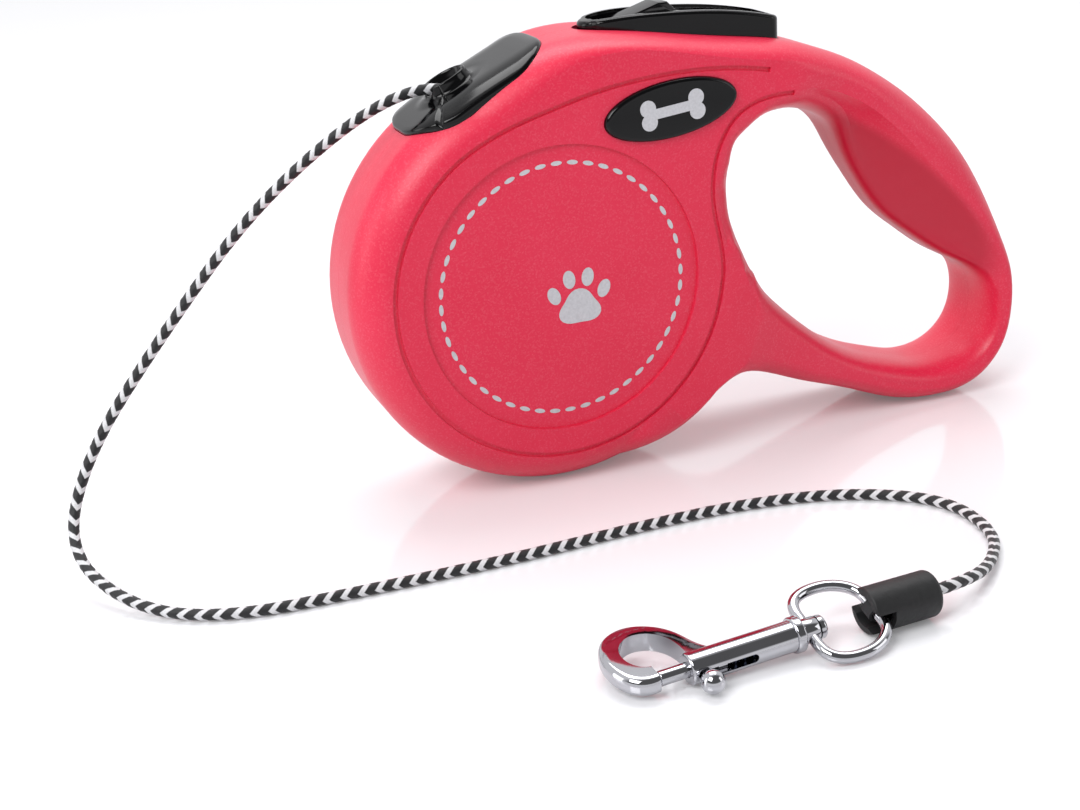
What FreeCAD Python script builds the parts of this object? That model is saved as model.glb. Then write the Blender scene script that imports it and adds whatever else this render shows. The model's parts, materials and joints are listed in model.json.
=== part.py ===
import FreeCAD, Part
import math
import os

from FreeCAD import Placement, Rotation, Vector

# Retractable cord leash for a small dog: a round reel casing in two halves with a hand loop on its
# right, a thumb brake on top, a cord outlet at the upper left, and a trigger snap on the cord's end.
# X runs along the object towards the hand loop, Y from the front face to the back, Z up.
# The origin is under the middle of the casing and hand loop, on the surface it stands on.

os.makedirs("parts", exist_ok=True)

# ---------------------------------------------------------------- casing and hand loop
casing_radius = 38.7          # round reel casing, at the parting line
half_thickness = 13.5         # parting line to either flat face
handle_length = 61.6          # right side of the round casing to the end of the hand loop
neck_rise = 4.6               # neck under the thumb brake, above the round casing's top
rim_depth = 7.1               # rounding of the casing's rim, measured in the flat face
rim_width = 8.0               # the same rounding, measured across the thickness
face_recess_radius = 26.8     # sunk round panel on both faces
face_recess_depth = 0.6
line_radius = 31.9            # moulded line round the casing's face
line_width = 0.9
line_depth = 0.5
parting_gap = 0.04            # hairline between the two casing halves
grip_edge_width = 5.0         # half thickness of the hand loop's edge under the fingers
grip_back_width = 11.3        # half thickness of the hand loop under the palm
loop_width = 10.2             # half thickness of the hand loop's lower bar
finger_scoop = 1.2            # hollow of the finger surface

# ---------------------------------------------------------------- screws
screw_circle = 34.4           # casing screws, from the reel's axis
screw_angles = (152, 212, 262, 312)
screw_seat = 10.1             # the head's seat, behind the parting line
loop_screws = ((1.285, 0.83, 8.8), (1.62, 0.645, 6.6), (1.44, 0.092, 6.4))
screw_radius = 1.1
screw_hole_radius = 1.25
screw_head_radius = 2.0
screw_head_height = 1.5
screw_pocket_radius = 2.2
screw_length = 14.0
screw_boss_radius = 2.35

# ---------------------------------------------------------------- reel
cavity_radius = 33.8          # the reel's room in the casing
panel_wall = 1.8              # casing wall behind the sunk panel
axle_radius = 2.5
axle_boss_radius = 5.0
axle_boss_height = 1.9
arbor_radius = 4.6            # thick middle of the axle, which holds the mainspring
side_clearance = 0.3
washer_thickness = 0.3
reel_radius = 30.0            # tips of the ratchet teeth
ratchet_teeth = 24
tooth_depth = 2.8
flange_thickness = 1.9
ratchet_front = -3.85         # front face of the toothed flange
back_flange_radius = 29.0
drum_radius = 18.5            # the cord winds on this
drum_wall = 1.5
reel_cover_thickness = 1.5
reel_rib_height = 2.4
reel_rib_thickness = 1.2
reel_ribs = 6

# ---------------------------------------------------------------- cord
cord_diameter = 2.0
cord_total = 3000.0
cord_outside = 315.0          # stretch drawn out of the casing
cord_fill = 0.78              # share of the winding that is cord

# ---------------------------------------------------------------- mainspring
spring_strip = 0.45
spring_side_gap = 0.92        # mainspring to the flange and to the cover
spring_turns = 6

# ---------------------------------------------------------------- cord outlet
outlet_width = 22.0           # across the rim and down over its roundings
outlet_reach = 0.8            # plate past the first and last marks on the rim
outlet_corner = 9.0
outlet_proud = 0.8            # stands above the casing's rim
outlet_depth = 1.4            # sunk in the casing's rim
seat_gap = 0.05               # round parts let into the casing
mouth_angle = 112.1           # middle of the cup, round the reel's axis
mouth_lean = 114.5            # the cup's axis, degrees from +X
cord_rise = 153.9             # the cord's direction in the casing's wall, degrees from +X
cord_level = 176.0            # and over the cup's lip
cup_long = 4.5                # half length of the cup round the mouth
cup_wide = 3.2
cup_taper = 0.93
cup_height = 2.0
cup_wall = 0.9
eyelet_bore = 1.6
cord_way_radius = 2.4         # bore in the casing's wall behind the eyelet
split_width = 0.6             # split in the plate, to lay the cord in
split_turn = -118.0

# ---------------------------------------------------------------- thumb brake
brake_front = 10.2            # tip, from the reel's axis
brake_rear = 49.0
brake_width = 10.6
brake_rise = 3.0              # crown above the neck's top
brake_fall = 3.6              # the crown drops this much to the rear
brake_tip_fall = 0.9          # and this much to the tip
brake_skirt = 8.8             # crown to skirt's edge
brake_wall = 1.4
brake_skin = 2.4              # crown to ceiling
brake_gap = 0.3
brake_tip_gap = 0.7
brake_rounding = 0.8
lip_width = 1.35              # raised lip round the crown
lip_height = 0.4
brake_room = 9.8              # depth of the brake's room under the neck's top
pivot_radius = 1.25
pivot_back = 5.0              # pin, in front of the button's rear end
pivot_drop = 6.8              # pin, below the neck's top
pivot_length = 17.0
pivot_lug_radius = 2.6
running_clearance = 0.06      # radial, shaft in hole
pawl_width = 1.9
pawl_neck = 2.6
pawl_root = 3.5               # from the tooth's tip to where the pawl widens
pawl_flare = 1.5              # the pawl is this much wider at the skirt
pawl_arm_reach = 11.0         # the pawl's arm ends this far before the button's pin
pawl_arm_top = 3.8            # and reaches this high above the skirt's edge
pawl_tip_width = 1.0
pawl_clear = 0.45             # tooth tip above the ratchet when the button is up
pawl_angle = 63.7             # round the reel, where the tip waits
pawl_set = 2.4                # degrees, pressed tip ahead of a tooth's steep face
pawl_turn = 4.2               # degrees round the reel that the tip travels
pawl_seat_gap = 0.04          # round the pawl where it is let into the button's skirt
lock_width = 5.6
lock_length = 11.6
lock_height = 2.7             # above the flat track
lock_front = 17.6             # front foot of the slider's ramp, from the reel's axis
lock_travel = 4.0
lock_clearance = 0.1
track_depth = 1.2             # flat track in the button's crown
stem_width = 1.8
stem_length = 5.6
lock_foot_width = 4.4
lock_foot_height = 0.9
groove_width = 2.6            # thumb groove behind the slider
groove_depth = 0.9
leaf_thickness = 0.4
leaf_width = 3.4

# ---------------------------------------------------------------- badge
badge_length = 26.2
badge_height = 10.4
badge_dome = 0.9
badge_sink = 0.8
badge_x = 22.3                # centre, from the reel's axis
badge_up = 30.3               # centre, above the reel's axis
badge_tilt = 6.0

# ---------------------------------------------------------------- cord's end
end_x = 30.9                  # rear of the sleeve, from the reel's axis
end_y = -87.6
end_z = 4.0
end_yaw = 184.0               # direction from the cord to the snap, degrees from +X
end_roll = 20.5               # the ring leans on the surface
end_pitch = 2.5               # the snap slopes down to the surface
sleeve_radius = 3.8
sleeve_length = 12.6
sleeve_bore = 2.6
sleeve_floor = 4.0            # solid rear end of the sleeve
notch_half = 2.0              # side notches for the ring's arms
notch_length = 3.4
crimp_radius = 2.2
crimp_length = 2.7
strap_thickness = 0.6
strap_width = 2.2
ring_wire = 0.95              # radius of the swivel ring's wire
ring_half_height = 7.2
ring_neck = 3.0               # half height where the ring enters the sleeve
ring_depth = 12.0             # middle of the bow to middle of the base bar
ring_inside = 1.8             # bow's middle, inside the sleeve's mouth
boss_radius = 2.0             # the ring's eye for the snap's shank
boss_length = 2.8
shank_radius = 1.1
rivet_radius = 1.9
rivet_height = 1.2
end_play = 0.1
collar_radius = 2.9
collar_length = 1.6
barrel_radius = 2.5
barrel_length = 18.0
barrel_bore = 1.7
bolt_radius = 1.2
bolt_travel = 7.0
bolt_nose = 4.8               # bolt beyond the barrel
piston_length = 1.5
knob_radius = 1.9
knob_reach = 4.4              # knob's middle, from the bolt's axis
knob_back = 2.1               # knob's middle, behind the barrel's front edge
slot_width = 1.5
hook_half = 1.6               # half thickness of the hook
hook_rounding = 1.2
snap_lean = 6.0               # the hook's far side is a little raised, degrees
spring_wire = 0.25

# ---------------------------------------------------------------- worked out from the sizes above
neck_top = 2 * casing_radius + neck_rise
body_length = 2 * casing_radius + handle_length
casing_x = casing_radius - body_length / 2
axis_z = casing_radius
cord_radius = cord_diameter / 2
inner_half = half_thickness - face_recess_depth - panel_wall
reel_half = inner_half - axle_boss_height - side_clearance - end_play
drum_inner = drum_radius - drum_wall
flange_back = ratchet_front + flange_thickness
winding_width = reel_half - flange_thickness - flange_back
wound_length = cord_total - cord_outside
winding_area = wound_length * math.pi * cord_radius ** 2 / cord_fill / winding_width
winding_radius = math.sqrt(drum_radius ** 2 + winding_area / math.pi)
pivot_x = brake_rear - pivot_back
pivot_z = neck_top - pivot_drop
crown_z = neck_top + brake_rise
skirt_z = crown_z - brake_skirt
track_z = crown_z - track_depth - 0.3
room_z = neck_top - brake_room
far = 200.0
quarter_pull = 0.5523         # handle length of a curve that stands for a quarter ellipse


def at(u, v):
    """A spot in the side view: u runs -1..1 across the casing and 1..2 along the hand loop,
    v runs 0..1 from the floor to the neck's top."""
    if u <= 1:
        return (u * casing_radius, v * neck_top)
    return (casing_radius + (u - 1) * handle_length, v * neck_top)


def point(x, z, y=0.0):
    """x is measured from the reel's axis."""
    return Vector(casing_x + x, y, z)


def around(angle, radius, y=0.0):
    """A point round the reel's axis, angle in degrees from +X towards +Z."""
    a = math.radians(angle)
    return point(radius * math.cos(a), axis_z + radius * math.sin(a), y)


def curve(*poles):
    bezier = Part.BezierCurve()
    bezier.setPoles(list(poles))
    return bezier.toShape()


def spline(points):
    line = Part.BSplineCurve()
    line.interpolate(points)
    return line.toShape()


def line(a, b):
    return Part.LineSegment(a, b).toShape()


def polygon_face(points):
    return Part.Face(Part.makePolygon(points + [points[0]]))


def across(radius, y0, y1, x=0.0, z=None):
    """A round bar along Y, x from the reel's axis."""
    z = axis_z if z is None else z
    return Part.makeCylinder(radius, y1 - y0, point(x, z, y0), Vector(0, 1, 0))


def slab(y0, y1):
    return Part.makeBox(2 * far, y1 - y0, 2 * far, Vector(-far, y0, -far))


def write(name, shape):
    shape.exportStep("parts/%s.step" % name)
    print("%-17s solids %d volume %.1f" % (name, len(shape.Solids), shape.Volume))


# ---------------------------------------------------------------- casing
def rib(inner, outer, wi, wo, ri, ro, crease, wc, ai, ao, scoop):
    """A closed section across the casing's neck or the hand loop. inner and outer are its ends in
    the side view, wi and wo the half widths there, ri x ai and ro x ao the roundings, and crease
    the share of the way from inner to outer where the finger surface meets the palm band."""
    length = math.hypot(outer[0] - inner[0], outer[1] - inner[1])
    ux = (outer[0] - inner[0]) / length
    uz = (outer[1] - inner[1]) / length

    def spot(s, y):
        return point(inner[0] + ux * s, inner[1] + uz * s, y)

    k = quarter_pull
    c = crease * length
    half = [
        [(length, 0), (length, wo - ao)],
        [(length, wo - ao), (length, wo - ao * (1 - k)), (length - ro * (1 - k), wo), (length - ro, wo)],
        [(length - ro, wo), (c, wc)],
        [(c, wc), ((c + ri) / 2, (wc + wi) / 2 - scoop), (ri, wi)],
        [(ri, wi), (ri * (1 - k), wi), (0, wi - ai * (1 - k)), (0, wi - ai)],
        [(0, wi - ai), (0, 0)],
    ]
    edges = [curve(*[spot(s, -y) for s, y in part]) for part in half]
    edges += [curve(*[spot(s, y) for s, y in reversed(part)]) for part in reversed(half)]
    return Part.Wire(edges)


def casing_disc():
    """The round casing: a profile with rounded rims, turned about the reel's axis."""
    t = half_thickness
    r = casing_radius
    k = quarter_pull
    flat = t - rim_width
    edges = [line(point(0, axis_z, -t), point(r - rim_depth, axis_z, -t))]
    edges.append(curve(point(r - rim_depth, axis_z, -t), point(r - rim_depth * (1 - k), axis_z, -t),
                       point(r, axis_z, -flat - rim_width * (1 - k)), point(r, axis_z, -flat)))
    edges.append(line(point(r, axis_z, -flat), point(r, axis_z, flat)))
    edges.append(curve(point(r, axis_z, flat), point(r, axis_z, flat + rim_width * (1 - k)),
                       point(r - rim_depth * (1 - k), axis_z, t), point(r - rim_depth, axis_z, t)))
    edges.append(line(point(r - rim_depth, axis_z, t), point(0, axis_z, t)))
    edges.append(line(point(0, axis_z, t), point(0, axis_z, -t)))
    return Part.Face(Part.Wire(edges)).revolve(point(0, axis_z), Vector(0, 1, 0), 360)


def neck_and_loop():
    """The neck and the hand loop: one smooth skin through sections all round the hand opening.
    In the neck it is a little thick, to be cut flush with the casing's flat faces."""
    t = half_thickness + 0.3
    g = grip_edge_width
    p = grip_back_width
    b = loop_width
    d = rim_depth
    a = rim_width
    s = finger_scoop
    e = 5.0
    ribs = [
        # neck, from the casing's upper left to the top of the opening
        rib(at(0.895, 0.625), at(-0.45, 0.891), t - 0.5, t - 0.5, e, 9.6, 0.5, t - 0.5, e, a, 0),
        rib(at(0.897, 0.640), at(-0.31, 0.927), t, t - 0.1, e, 8.4, 0.5, t, e, a, 0),
        rib(at(0.902, 0.662), at(0.03, 1.000), t, t, e, 6.4, 0.5, t, e, a, 0),
        rib(at(0.914, 0.694), at(0.36, 1.010), t, t, e, 4.6, 0.4, t, 5.5, a, 0),
        rib(at(0.942, 0.730), at(0.749, 0.982), t, t, e, 4.2, 0.35, t, 6.5, a, 0),
        rib(at(0.995, 0.752), at(1.022, 0.961), t, t, e, 4.2, 0.40, t, a, a, 0),
        rib(at(1.050, 0.779), at(1.154, 0.944), t - 0.2, t, e, 4.6, 0.40, t, a, a, 0),
        # palm grip, with the hollow finger surface
        rib(at(1.130, 0.790), at(1.262, 0.919), t - 0.7, t - 0.5, 4.6, 5.2, 0.42, t - 0.6, 7, a, 0),
        rib(at(1.225, 0.776), at(1.370, 0.887), p - 0.7, p + 1.0, 4.0, 5.2, 0.44, p + 1.0, 5.5, a, 0.3 * s),
        rib(at(1.326, 0.735), at(1.470, 0.846), g + 3, p + 0.7, 3.0, 5.0, 0.46, p + 0.7, 4.5, a, 0.6 * s),
        rib(at(1.385, 0.660), at(1.585, 0.787), g + 1, p + 0.4, 2.4, 6.6, 0.54, p + 0.2, 3.5, a, 0.9 * s),
        rib(at(1.450, 0.575), at(1.696, 0.714), g, p, 2.2, 6.6, 0.58, p - 0.3, 3, a, s),
        rib(at(1.530, 0.492), at(1.795, 0.630), g, p - 0.4, 2.2, 6.0, 0.60, p - 0.7, 3, a, s),
        rib(at(1.640, 0.420), at(1.885, 0.520), g + 0.6, p - 0.7, 2.4, 5.0, 0.62, p - 0.9, 3.4, a, 0.8 * s),
        rib(at(1.765, 0.352), at(1.955, 0.400), g + 2.5, b + 0.2, 2.8, 3.4, 0.66, b, 5, a, 0.4 * s),
        # round the end and back along the lower bar
        rib(at(1.872, 0.300), at(1.996, 0.300), b - 1, b + 0.1, 2.4, 2.6, 0.55, b - 0.1, 6.5, a, 0.1),
        rib(at(1.911, 0.228), at(1.998, 0.200), b - 0.4, b, 2.2, 2.4, 0.5, b - 0.2, 7, a, 0),
        rib(at(1.890, 0.150), at(1.960, 0.098), b - 0.2, b, 2.4, 2.6, 0.5, b - 0.1, 7, 7.5, 0),
        rib(at(1.815, 0.100), at(1.862, 0.026), b - 0.2, b, 2.6, 2.8, 0.5, b - 0.1, 7, 6, 0),
        rib(at(1.700, 0.085), at(1.720, 0.001), b - 0.2, b, 2.8, 3.0, 0.5, b - 0.1, 7, 6, 0),
        rib(at(1.590, 0.103), at(1.560, 0.013), b, b + 0.1, 3.0, 3.2, 0.5, b, 7, 6.5, 0),
        rib(at(1.440, 0.143), at(1.385, 0.062), b + 0.2, b + 0.4, 3.0, 3.2, 0.5, b + 0.3, 7, 7, 0),
        rib(at(1.292, 0.211), at(1.200, 0.112), b + 0.9, b + 1.1, 3.6, 3.8, 0.5, b + 1.0, 7.5, 7.5, 0),
        rib(at(1.150, 0.305), at(1.040, 0.158), b + 1.9, b + 2.0, 4.4, 4.8, 0.5, b + 1.9, a, a, 0),
        rib(at(1.065, 0.370), at(0.90, 0.162), t - 0.5, t - 0.4, 5, 5.5, 0.5, t - 0.45, 6.5, a, 0),
        rib(at(1.020, 0.425), at(0.74, 0.119), t, t, e, 6.5, 0.5, t, 5.5, a, 0),
    ]
    return Part.makeLoft(ribs, True, False, False)


def arm_root():
    """Where the loop's lower arm runs into the round casing and the casing's face beside the opening."""
    t = half_thickness + 0.3
    e = 5.0
    ribs = [
        rib(at(1.020, 0.425), at(0.74, 0.119), t, t, e, 6.5, 0.5, t, 5.5, rim_width, 0),
        rib(at(0.993, 0.459), at(0.603, 0.067), t, t, e, 6.8, 0.5, t, 5.5, rim_width, 0),
        rib(at(0.948, 0.520), at(0.403, 0.032), t, t, e, rim_depth, 0.5, t, 5.5, rim_width, 0),
        rib(at(0.888, 0.578), at(0.195, 0.020), t - 0.9, t - 0.9, e, rim_depth, 0.5,
            t - 0.9, 5.5, rim_width, 0),
    ]
    return Part.makeLoft(ribs, True, False, False)


def beside_opening():
    """The casing left of the hand opening: a block with a rounded edge, level with both faces."""
    edge = spline([point(39.7, 34.5), point(38.0, 38.6), point(36.4, 42.5), point(35.2, 46.5),
                   point(34.75, 51), point(34.85, 54.5), point(35.3, 58)])
    ends = [point(35.3, 58), point(18, 58), point(18, 34.5), point(39.7, 34.5)]
    sides = [line(ends[i], ends[i + 1]) for i in range(3)]
    face = Part.Face(Part.Wire([edge] + sides))
    face.translate(Vector(0, -half_thickness, 0))
    block = face.extrude(Vector(0, 2 * half_thickness, 0))
    long_edges = [e for e in block.Edges if e.BoundBox.ZLength > 20 and e.BoundBox.YLength < 0.01]
    rounded = [e for e in long_edges if abs(e.BoundBox.XMax - point(39.7, 0).x) < 0.05]
    return block.makeFillet(5.0, rounded)


def face_line(points, depth_from):
    """A shallow moulded line in the flat face, along a smooth curve through points."""
    path = Part.BSplineCurve()
    path.interpolate(points)
    first = path.FirstParameter
    last = path.LastParameter
    left = []
    right = []
    steps = 3 * len(points)
    for i in range(steps + 1):
        u = first + (last - first) * i / steps
        tangent = path.tangent(u)[0]
        side = Vector(-tangent.z, 0, tangent.x) * (line_width / 2)
        left.append(path.value(u) + side)
        right.append(path.value(u) - side)
    edges = [spline(left), line(left[-1], right[-1]), spline(list(reversed(right))), line(right[0], left[0])]
    strip = Part.Face(Part.Wire(edges))
    return strip.extrude(Vector(0, depth_from, 0))


def at_y(u, v, y):
    x, z = at(u, v)
    return point(x, z, y)


def face_lines(side):
    """The moulded line on one face: round the casing, over the neck, and round the hand opening.
    side is -1 for the front and 1 for the back."""
    t = half_thickness
    y = side * (t - line_depth)
    ring = across(line_radius + line_width / 2, -1, 1).cut(across(line_radius - line_width / 2, -1, 1))
    start = around(-8, 1.5 * casing_radius)
    end = around(124, 1.5 * casing_radius)
    keep_out = polygon_face([point(0, axis_z, -2), start + Vector(0, -2, 0),
                             around(58, 2.4 * casing_radius, -2), end + Vector(0, -2, 0)])
    ring = ring.cut(keep_out.extrude(Vector(0, 4, 0)))
    ring.translate(Vector(0, side * (t - line_depth + 1), 0))
    over = [around(124, line_radius, y), at_y(-0.195, 0.852, y), at_y(0.02, 0.880, y), at_y(0.21, 0.901, y),
            at_y(0.50, 0.917, y), at_y(0.80, 0.917, y), at_y(1.06, 0.897, y)]
    under = [around(-8, line_radius, y), at_y(0.815, 0.52, y), at_y(0.785, 0.60, y), at_y(0.785, 0.675, y),
             at_y(0.825, 0.745, y), at_y(0.93, 0.81, y), at_y(1.04, 0.835, y), at_y(1.14, 0.838, y)]
    cuts = [ring]
    for points in (over, under):
        cuts.append(face_line(points, side * 3))
    return cuts


def casing_cavity():
    """The drum's room, and the brake's room in the neck."""
    t = inner_half
    r = cavity_radius
    profile = [line(point(0, axis_z, -t), point(r - 5.5, axis_z, -t)),
               curve(point(r - 5.5, axis_z, -t), point(r - 2.5, axis_z, -t),
                     point(r, axis_z, -t + 3.5), point(r, axis_z, -t + 6.5)),
               line(point(r, axis_z, -t + 6.5), point(r, axis_z, t - 6.5)),
               curve(point(r, axis_z, t - 6.5), point(r, axis_z, t - 3.5),
                     point(r - 2.5, axis_z, t), point(r - 5.5, axis_z, t)),
               line(point(r - 5.5, axis_z, t), point(0, axis_z, t)),
               line(point(0, axis_z, t), point(0, axis_z, -t))]
    return Part.Face(Part.Wire(profile)).revolve(point(0, axis_z), Vector(0, 1, 0), 360)


def rounded_route(corners, radii):
    """Straight runs joined by tangent arcs at the corners between."""
    edges = []
    here = corners[0]
    for i in range(1, len(corners) - 1):
        before = (corners[i] - corners[i - 1]).normalize()
        after = (corners[i + 1] - corners[i]).normalize()
        half_turn = before.getAngle(after) / 2
        reach = radii[i - 1] * math.tan(half_turn)
        first = corners[i] - before * reach
        last = corners[i] + after * reach
        inward = (after - before).normalize()
        centre = corners[i] + inward * (radii[i - 1] / math.cos(half_turn))
        middle = centre - inward * radii[i - 1]
        edges.append(line(here, first))
        edges.append(Part.Arc(first, middle, last).toShape())
        here = last
    edges.append(line(here, corners[-1]))
    return Part.Wire(edges)


def bar_along(route, radius):
    start = route.Edges[0]
    direction = start.tangentAt(start.FirstParameter)
    ring = Part.Wire(Part.makeCircle(radius, start.valueAt(start.FirstParameter), direction))
    return route.makePipeShell([ring], True, False)


def bar(a, b, radius):
    return Part.makeCylinder(radius, (b - a).Length, a, b - a)


# ---------------------------------------------------------------- cord's route
cord_corners = [
    point(8.5, 66.3, 0), point(-6.0, 70.6, 0), point(-21.5, 78.2, 0), point(-50, 61.4, 0),
    point(-72.5, 37.3, -0.5), point(-87.5, 19.5, -2.5), point(-93.8, 6.0, -10.5),
    point(-86.0, 1.35, -27.5), point(-72.0, cord_radius, -38.2), point(-46, cord_radius, -39.2),
    point(-20, cord_radius, -39.4), point(4, cord_radius, -37.8), point(24, cord_radius, -38.2),
    point(41.5, cord_radius, -42.5), point(55.5, cord_radius, -53.0), point(55.8, cord_radius, -68.5),
    point(47.5, 1.7, -80.0),
]


def end_placement(turned, pitched, leaned):
    """Frame of the cord's end: X from the cord to the snap, starting at the sleeve's rear."""
    yaw = Rotation(Vector(0, 0, 1), end_yaw)
    place = Placement(point(end_x, end_z, end_y), yaw)
    if turned:
        place = place * Placement(Vector(), Rotation(Vector(1, 0, 0), -end_roll))
    if pitched:
        bow = Vector(sleeve_length - ring_inside, 0, 0)
        place = place * Placement(bow, Rotation(Vector(0, 1, 0), end_pitch))
    if leaned:
        snap_roll = Rotation(Vector(1, 0, 0), end_roll - snap_lean)
        place = place * Placement(Vector(ring_depth, 0, 0), snap_roll)
    return place


sleeve_place = end_placement(False, False, False)
rolled_place = end_placement(True, False, False)
ring_place = end_placement(True, True, False)
snap_place = end_placement(True, True, True)
cord_corners.append(sleeve_place.multVec(Vector(-6.0, 0, 0)))
cord_corners.append(sleeve_place.multVec(Vector(sleeve_floor, 0, 0)))


def placed(shape, place):
    shape = shape.copy()
    shape.Placement = place.multiply(shape.Placement)
    return shape


# ---------------------------------------------------------------- cord outlet
def rim_spot(angle):
    """A spot on the round casing's rim, as at() gives it."""
    a = math.radians(angle)
    return (casing_radius * math.cos(a), axis_z + casing_radius * math.sin(a))


# marks along the rim from the left of the outlet to its right, and the rim's rounding there
outlet_rim = [rim_spot(136.0), rim_spot(128.2), rim_spot(122.1), at(-0.45, 0.893), at(-0.31, 0.927),
              at(-0.13, 0.967), at(0.03, 1.000), at(0.19, 1.010)]
outlet_rounding = [rim_depth, rim_depth, rim_depth, rim_depth - 0.1, 6.2, 5.8, 5.4, 4.7]


def rim_skin(offset):
    """A smooth skin over the rim round the outlet, offset outside the casing's."""
    t = half_thickness + offset
    sections = []
    for i in range(len(outlet_rim)):
        a = outlet_rim[max(i - 1, 0)]
        b = outlet_rim[min(i + 1, len(outlet_rim) - 1)]
        length = math.hypot(b[0] - a[0], b[1] - a[1])
        nx = -(b[1] - a[1]) / length
        nz = (b[0] - a[0]) / length
        x, z = outlet_rim[i]
        inner = (x - nx * 16, z - nz * 16)
        outer = (x + nx * offset, z + nz * offset)
        rounding = outlet_rounding[i] + offset
        sections.append(rib(inner, outer, t, t, 1.0, rounding, 0.4, t, 1.0, rim_width + offset, 0))
    return Part.makeLoft(sections, True, False, False)


def outlet_plan(grow):
    """Upright block with rounded ends that gives the outlet's plan, square to the rim."""
    first = outlet_rim[1]
    last = outlet_rim[-2]
    run = math.hypot(last[0] - first[0], last[1] - first[1])
    tilt = math.degrees(math.atan2(last[1] - first[1], last[0] - first[0]))
    length = run + 2 * (outlet_reach + grow)
    width = outlet_width + 2 * grow
    block = Part.makeBox(length, width, 30, Vector(-length / 2, -width / 2, -9))
    block = block.makeFillet(outlet_corner + grow, [e for e in block.Edges if e.BoundBox.ZLength > 20])
    block.rotate(Vector(0, 0, 0), Vector(0, 1, 0), -tilt)
    block.translate(point((first[0] + last[0]) / 2, (first[1] + last[1]) / 2))
    return block


mouth = around(mouth_angle, casing_radius + outlet_proud)
way_out = Vector(math.cos(math.radians(cord_rise)), 0, math.sin(math.radians(cord_rise)))


def cord_way(radius, before, after):
    """Straight bore along the cord, from before the mouth to after it."""
    return bar(mouth - way_out * before, mouth + way_out * after, radius)


def oval_block(long_half, short_half, top_share, z0, z1):
    """An oval block on the plate at the mouth, its top top_share as wide as its foot."""
    rings = []
    for z, share in ((z0, 1.0), (z1, top_share)):
        ellipse = Part.Ellipse(Vector(0, 0, z), long_half * share, short_half * share)
        rings.append(Part.Wire(ellipse.toShape()))
    block = Part.makeLoft(rings, True, True)
    block.rotate(Vector(0, 0, 0), Vector(0, 1, 0), 90 - mouth_lean)
    block.translate(mouth)
    return block


def cord_outlet():
    """Plate that hugs the rim, with an oval cup round the cord's mouth."""
    inside = rim_skin(-outlet_depth)
    plate = rim_skin(outlet_proud).common(outlet_plan(0))
    cup = oval_block(cup_long, cup_wide, cup_taper, -2.0, cup_height)
    plate = plate.fuse(cup).cut(inside)
    hollow = oval_block(cup_long - cup_wall, cup_wide - cup_wall, 1.2, 0.2, cup_height + 0.6)
    plate = plate.cut([hollow, cord_way(eyelet_bore, 14, 14)])
    level = Vector(math.cos(math.radians(cord_level)), 0, math.sin(math.radians(cord_level)))
    plate = plate.cut(bar(mouth + level * 0.5, mouth + level * 12, eyelet_bore))
    split = Part.makeBox(16, split_width, 14, Vector(1.5, -split_width / 2, -8))
    split.rotate(Vector(0, 0, 0), Vector(0, 0, 1), split_turn)
    split.translate(mouth)
    return plate.cut(split)


# ---------------------------------------------------------------- thumb brake
def brake_top(x, drop=0.0):
    """Height of the button's crown above the floor, x from the reel's axis."""
    share = (x - brake_front) / (brake_rear - brake_front)
    tip = max(0.0, 1 - share / 0.28)
    return crown_z - brake_tip_fall * tip ** 2 - brake_fall * max(share, 0) ** 3 - drop


def brake_plan(grow, tip_grow, z0, z1):
    """The button's plan: pointed at the front, square with round corners at the rear."""
    w = brake_width / 2 + grow
    front = brake_front - tip_grow
    rear = brake_rear + grow
    corner = 2.0 + grow
    z = z0
    shoulder = brake_front + 9.5
    edges = [
        curve(point(front, z, 0), point(front, z, -0.5 * w),
              point(shoulder - 6.5, z, -w), point(shoulder, z, -w)),
        line(point(shoulder, z, -w), point(rear - corner, z, -w)),
        curve(point(rear - corner, z, -w), point(rear - corner * 0.45, z, -w),
              point(rear, z, -w + corner * 0.55), point(rear, z, -w + corner)),
        line(point(rear, z, -w + corner), point(rear, z, w - corner)),
        curve(point(rear, z, w - corner), point(rear, z, w - corner * 0.45),
              point(rear - corner * 0.55, z, w), point(rear - corner, z, w)),
        line(point(rear - corner, z, w), point(shoulder, z, w)),
        curve(point(shoulder, z, w), point(shoulder - 6.5, z, w), point(front, z, 0.5 * w), point(front, z, 0)),
    ]
    return Part.Face(Part.Wire(edges)).extrude(Vector(0, 0, z1 - z0))


def brake_side(drop, low):
    """Side view of the button, drop below its crown and down to low, extruded across the casing."""
    xs = [brake_front - 3 + (brake_rear - brake_front + 6) * i / 8 for i in range(9)]
    top = [point(x, brake_top(x, drop), -far / 4) for x in xs]
    edges = [spline(top), line(top[-1], point(xs[-1], low, -far / 4)),
             line(point(xs[-1], low, -far / 4), point(xs[0], low, -far / 4)),
             line(point(xs[0], low, -far / 4), top[0])]
    return Part.Face(Part.Wire(edges)).extrude(Vector(0, far / 2, 0))


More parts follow.
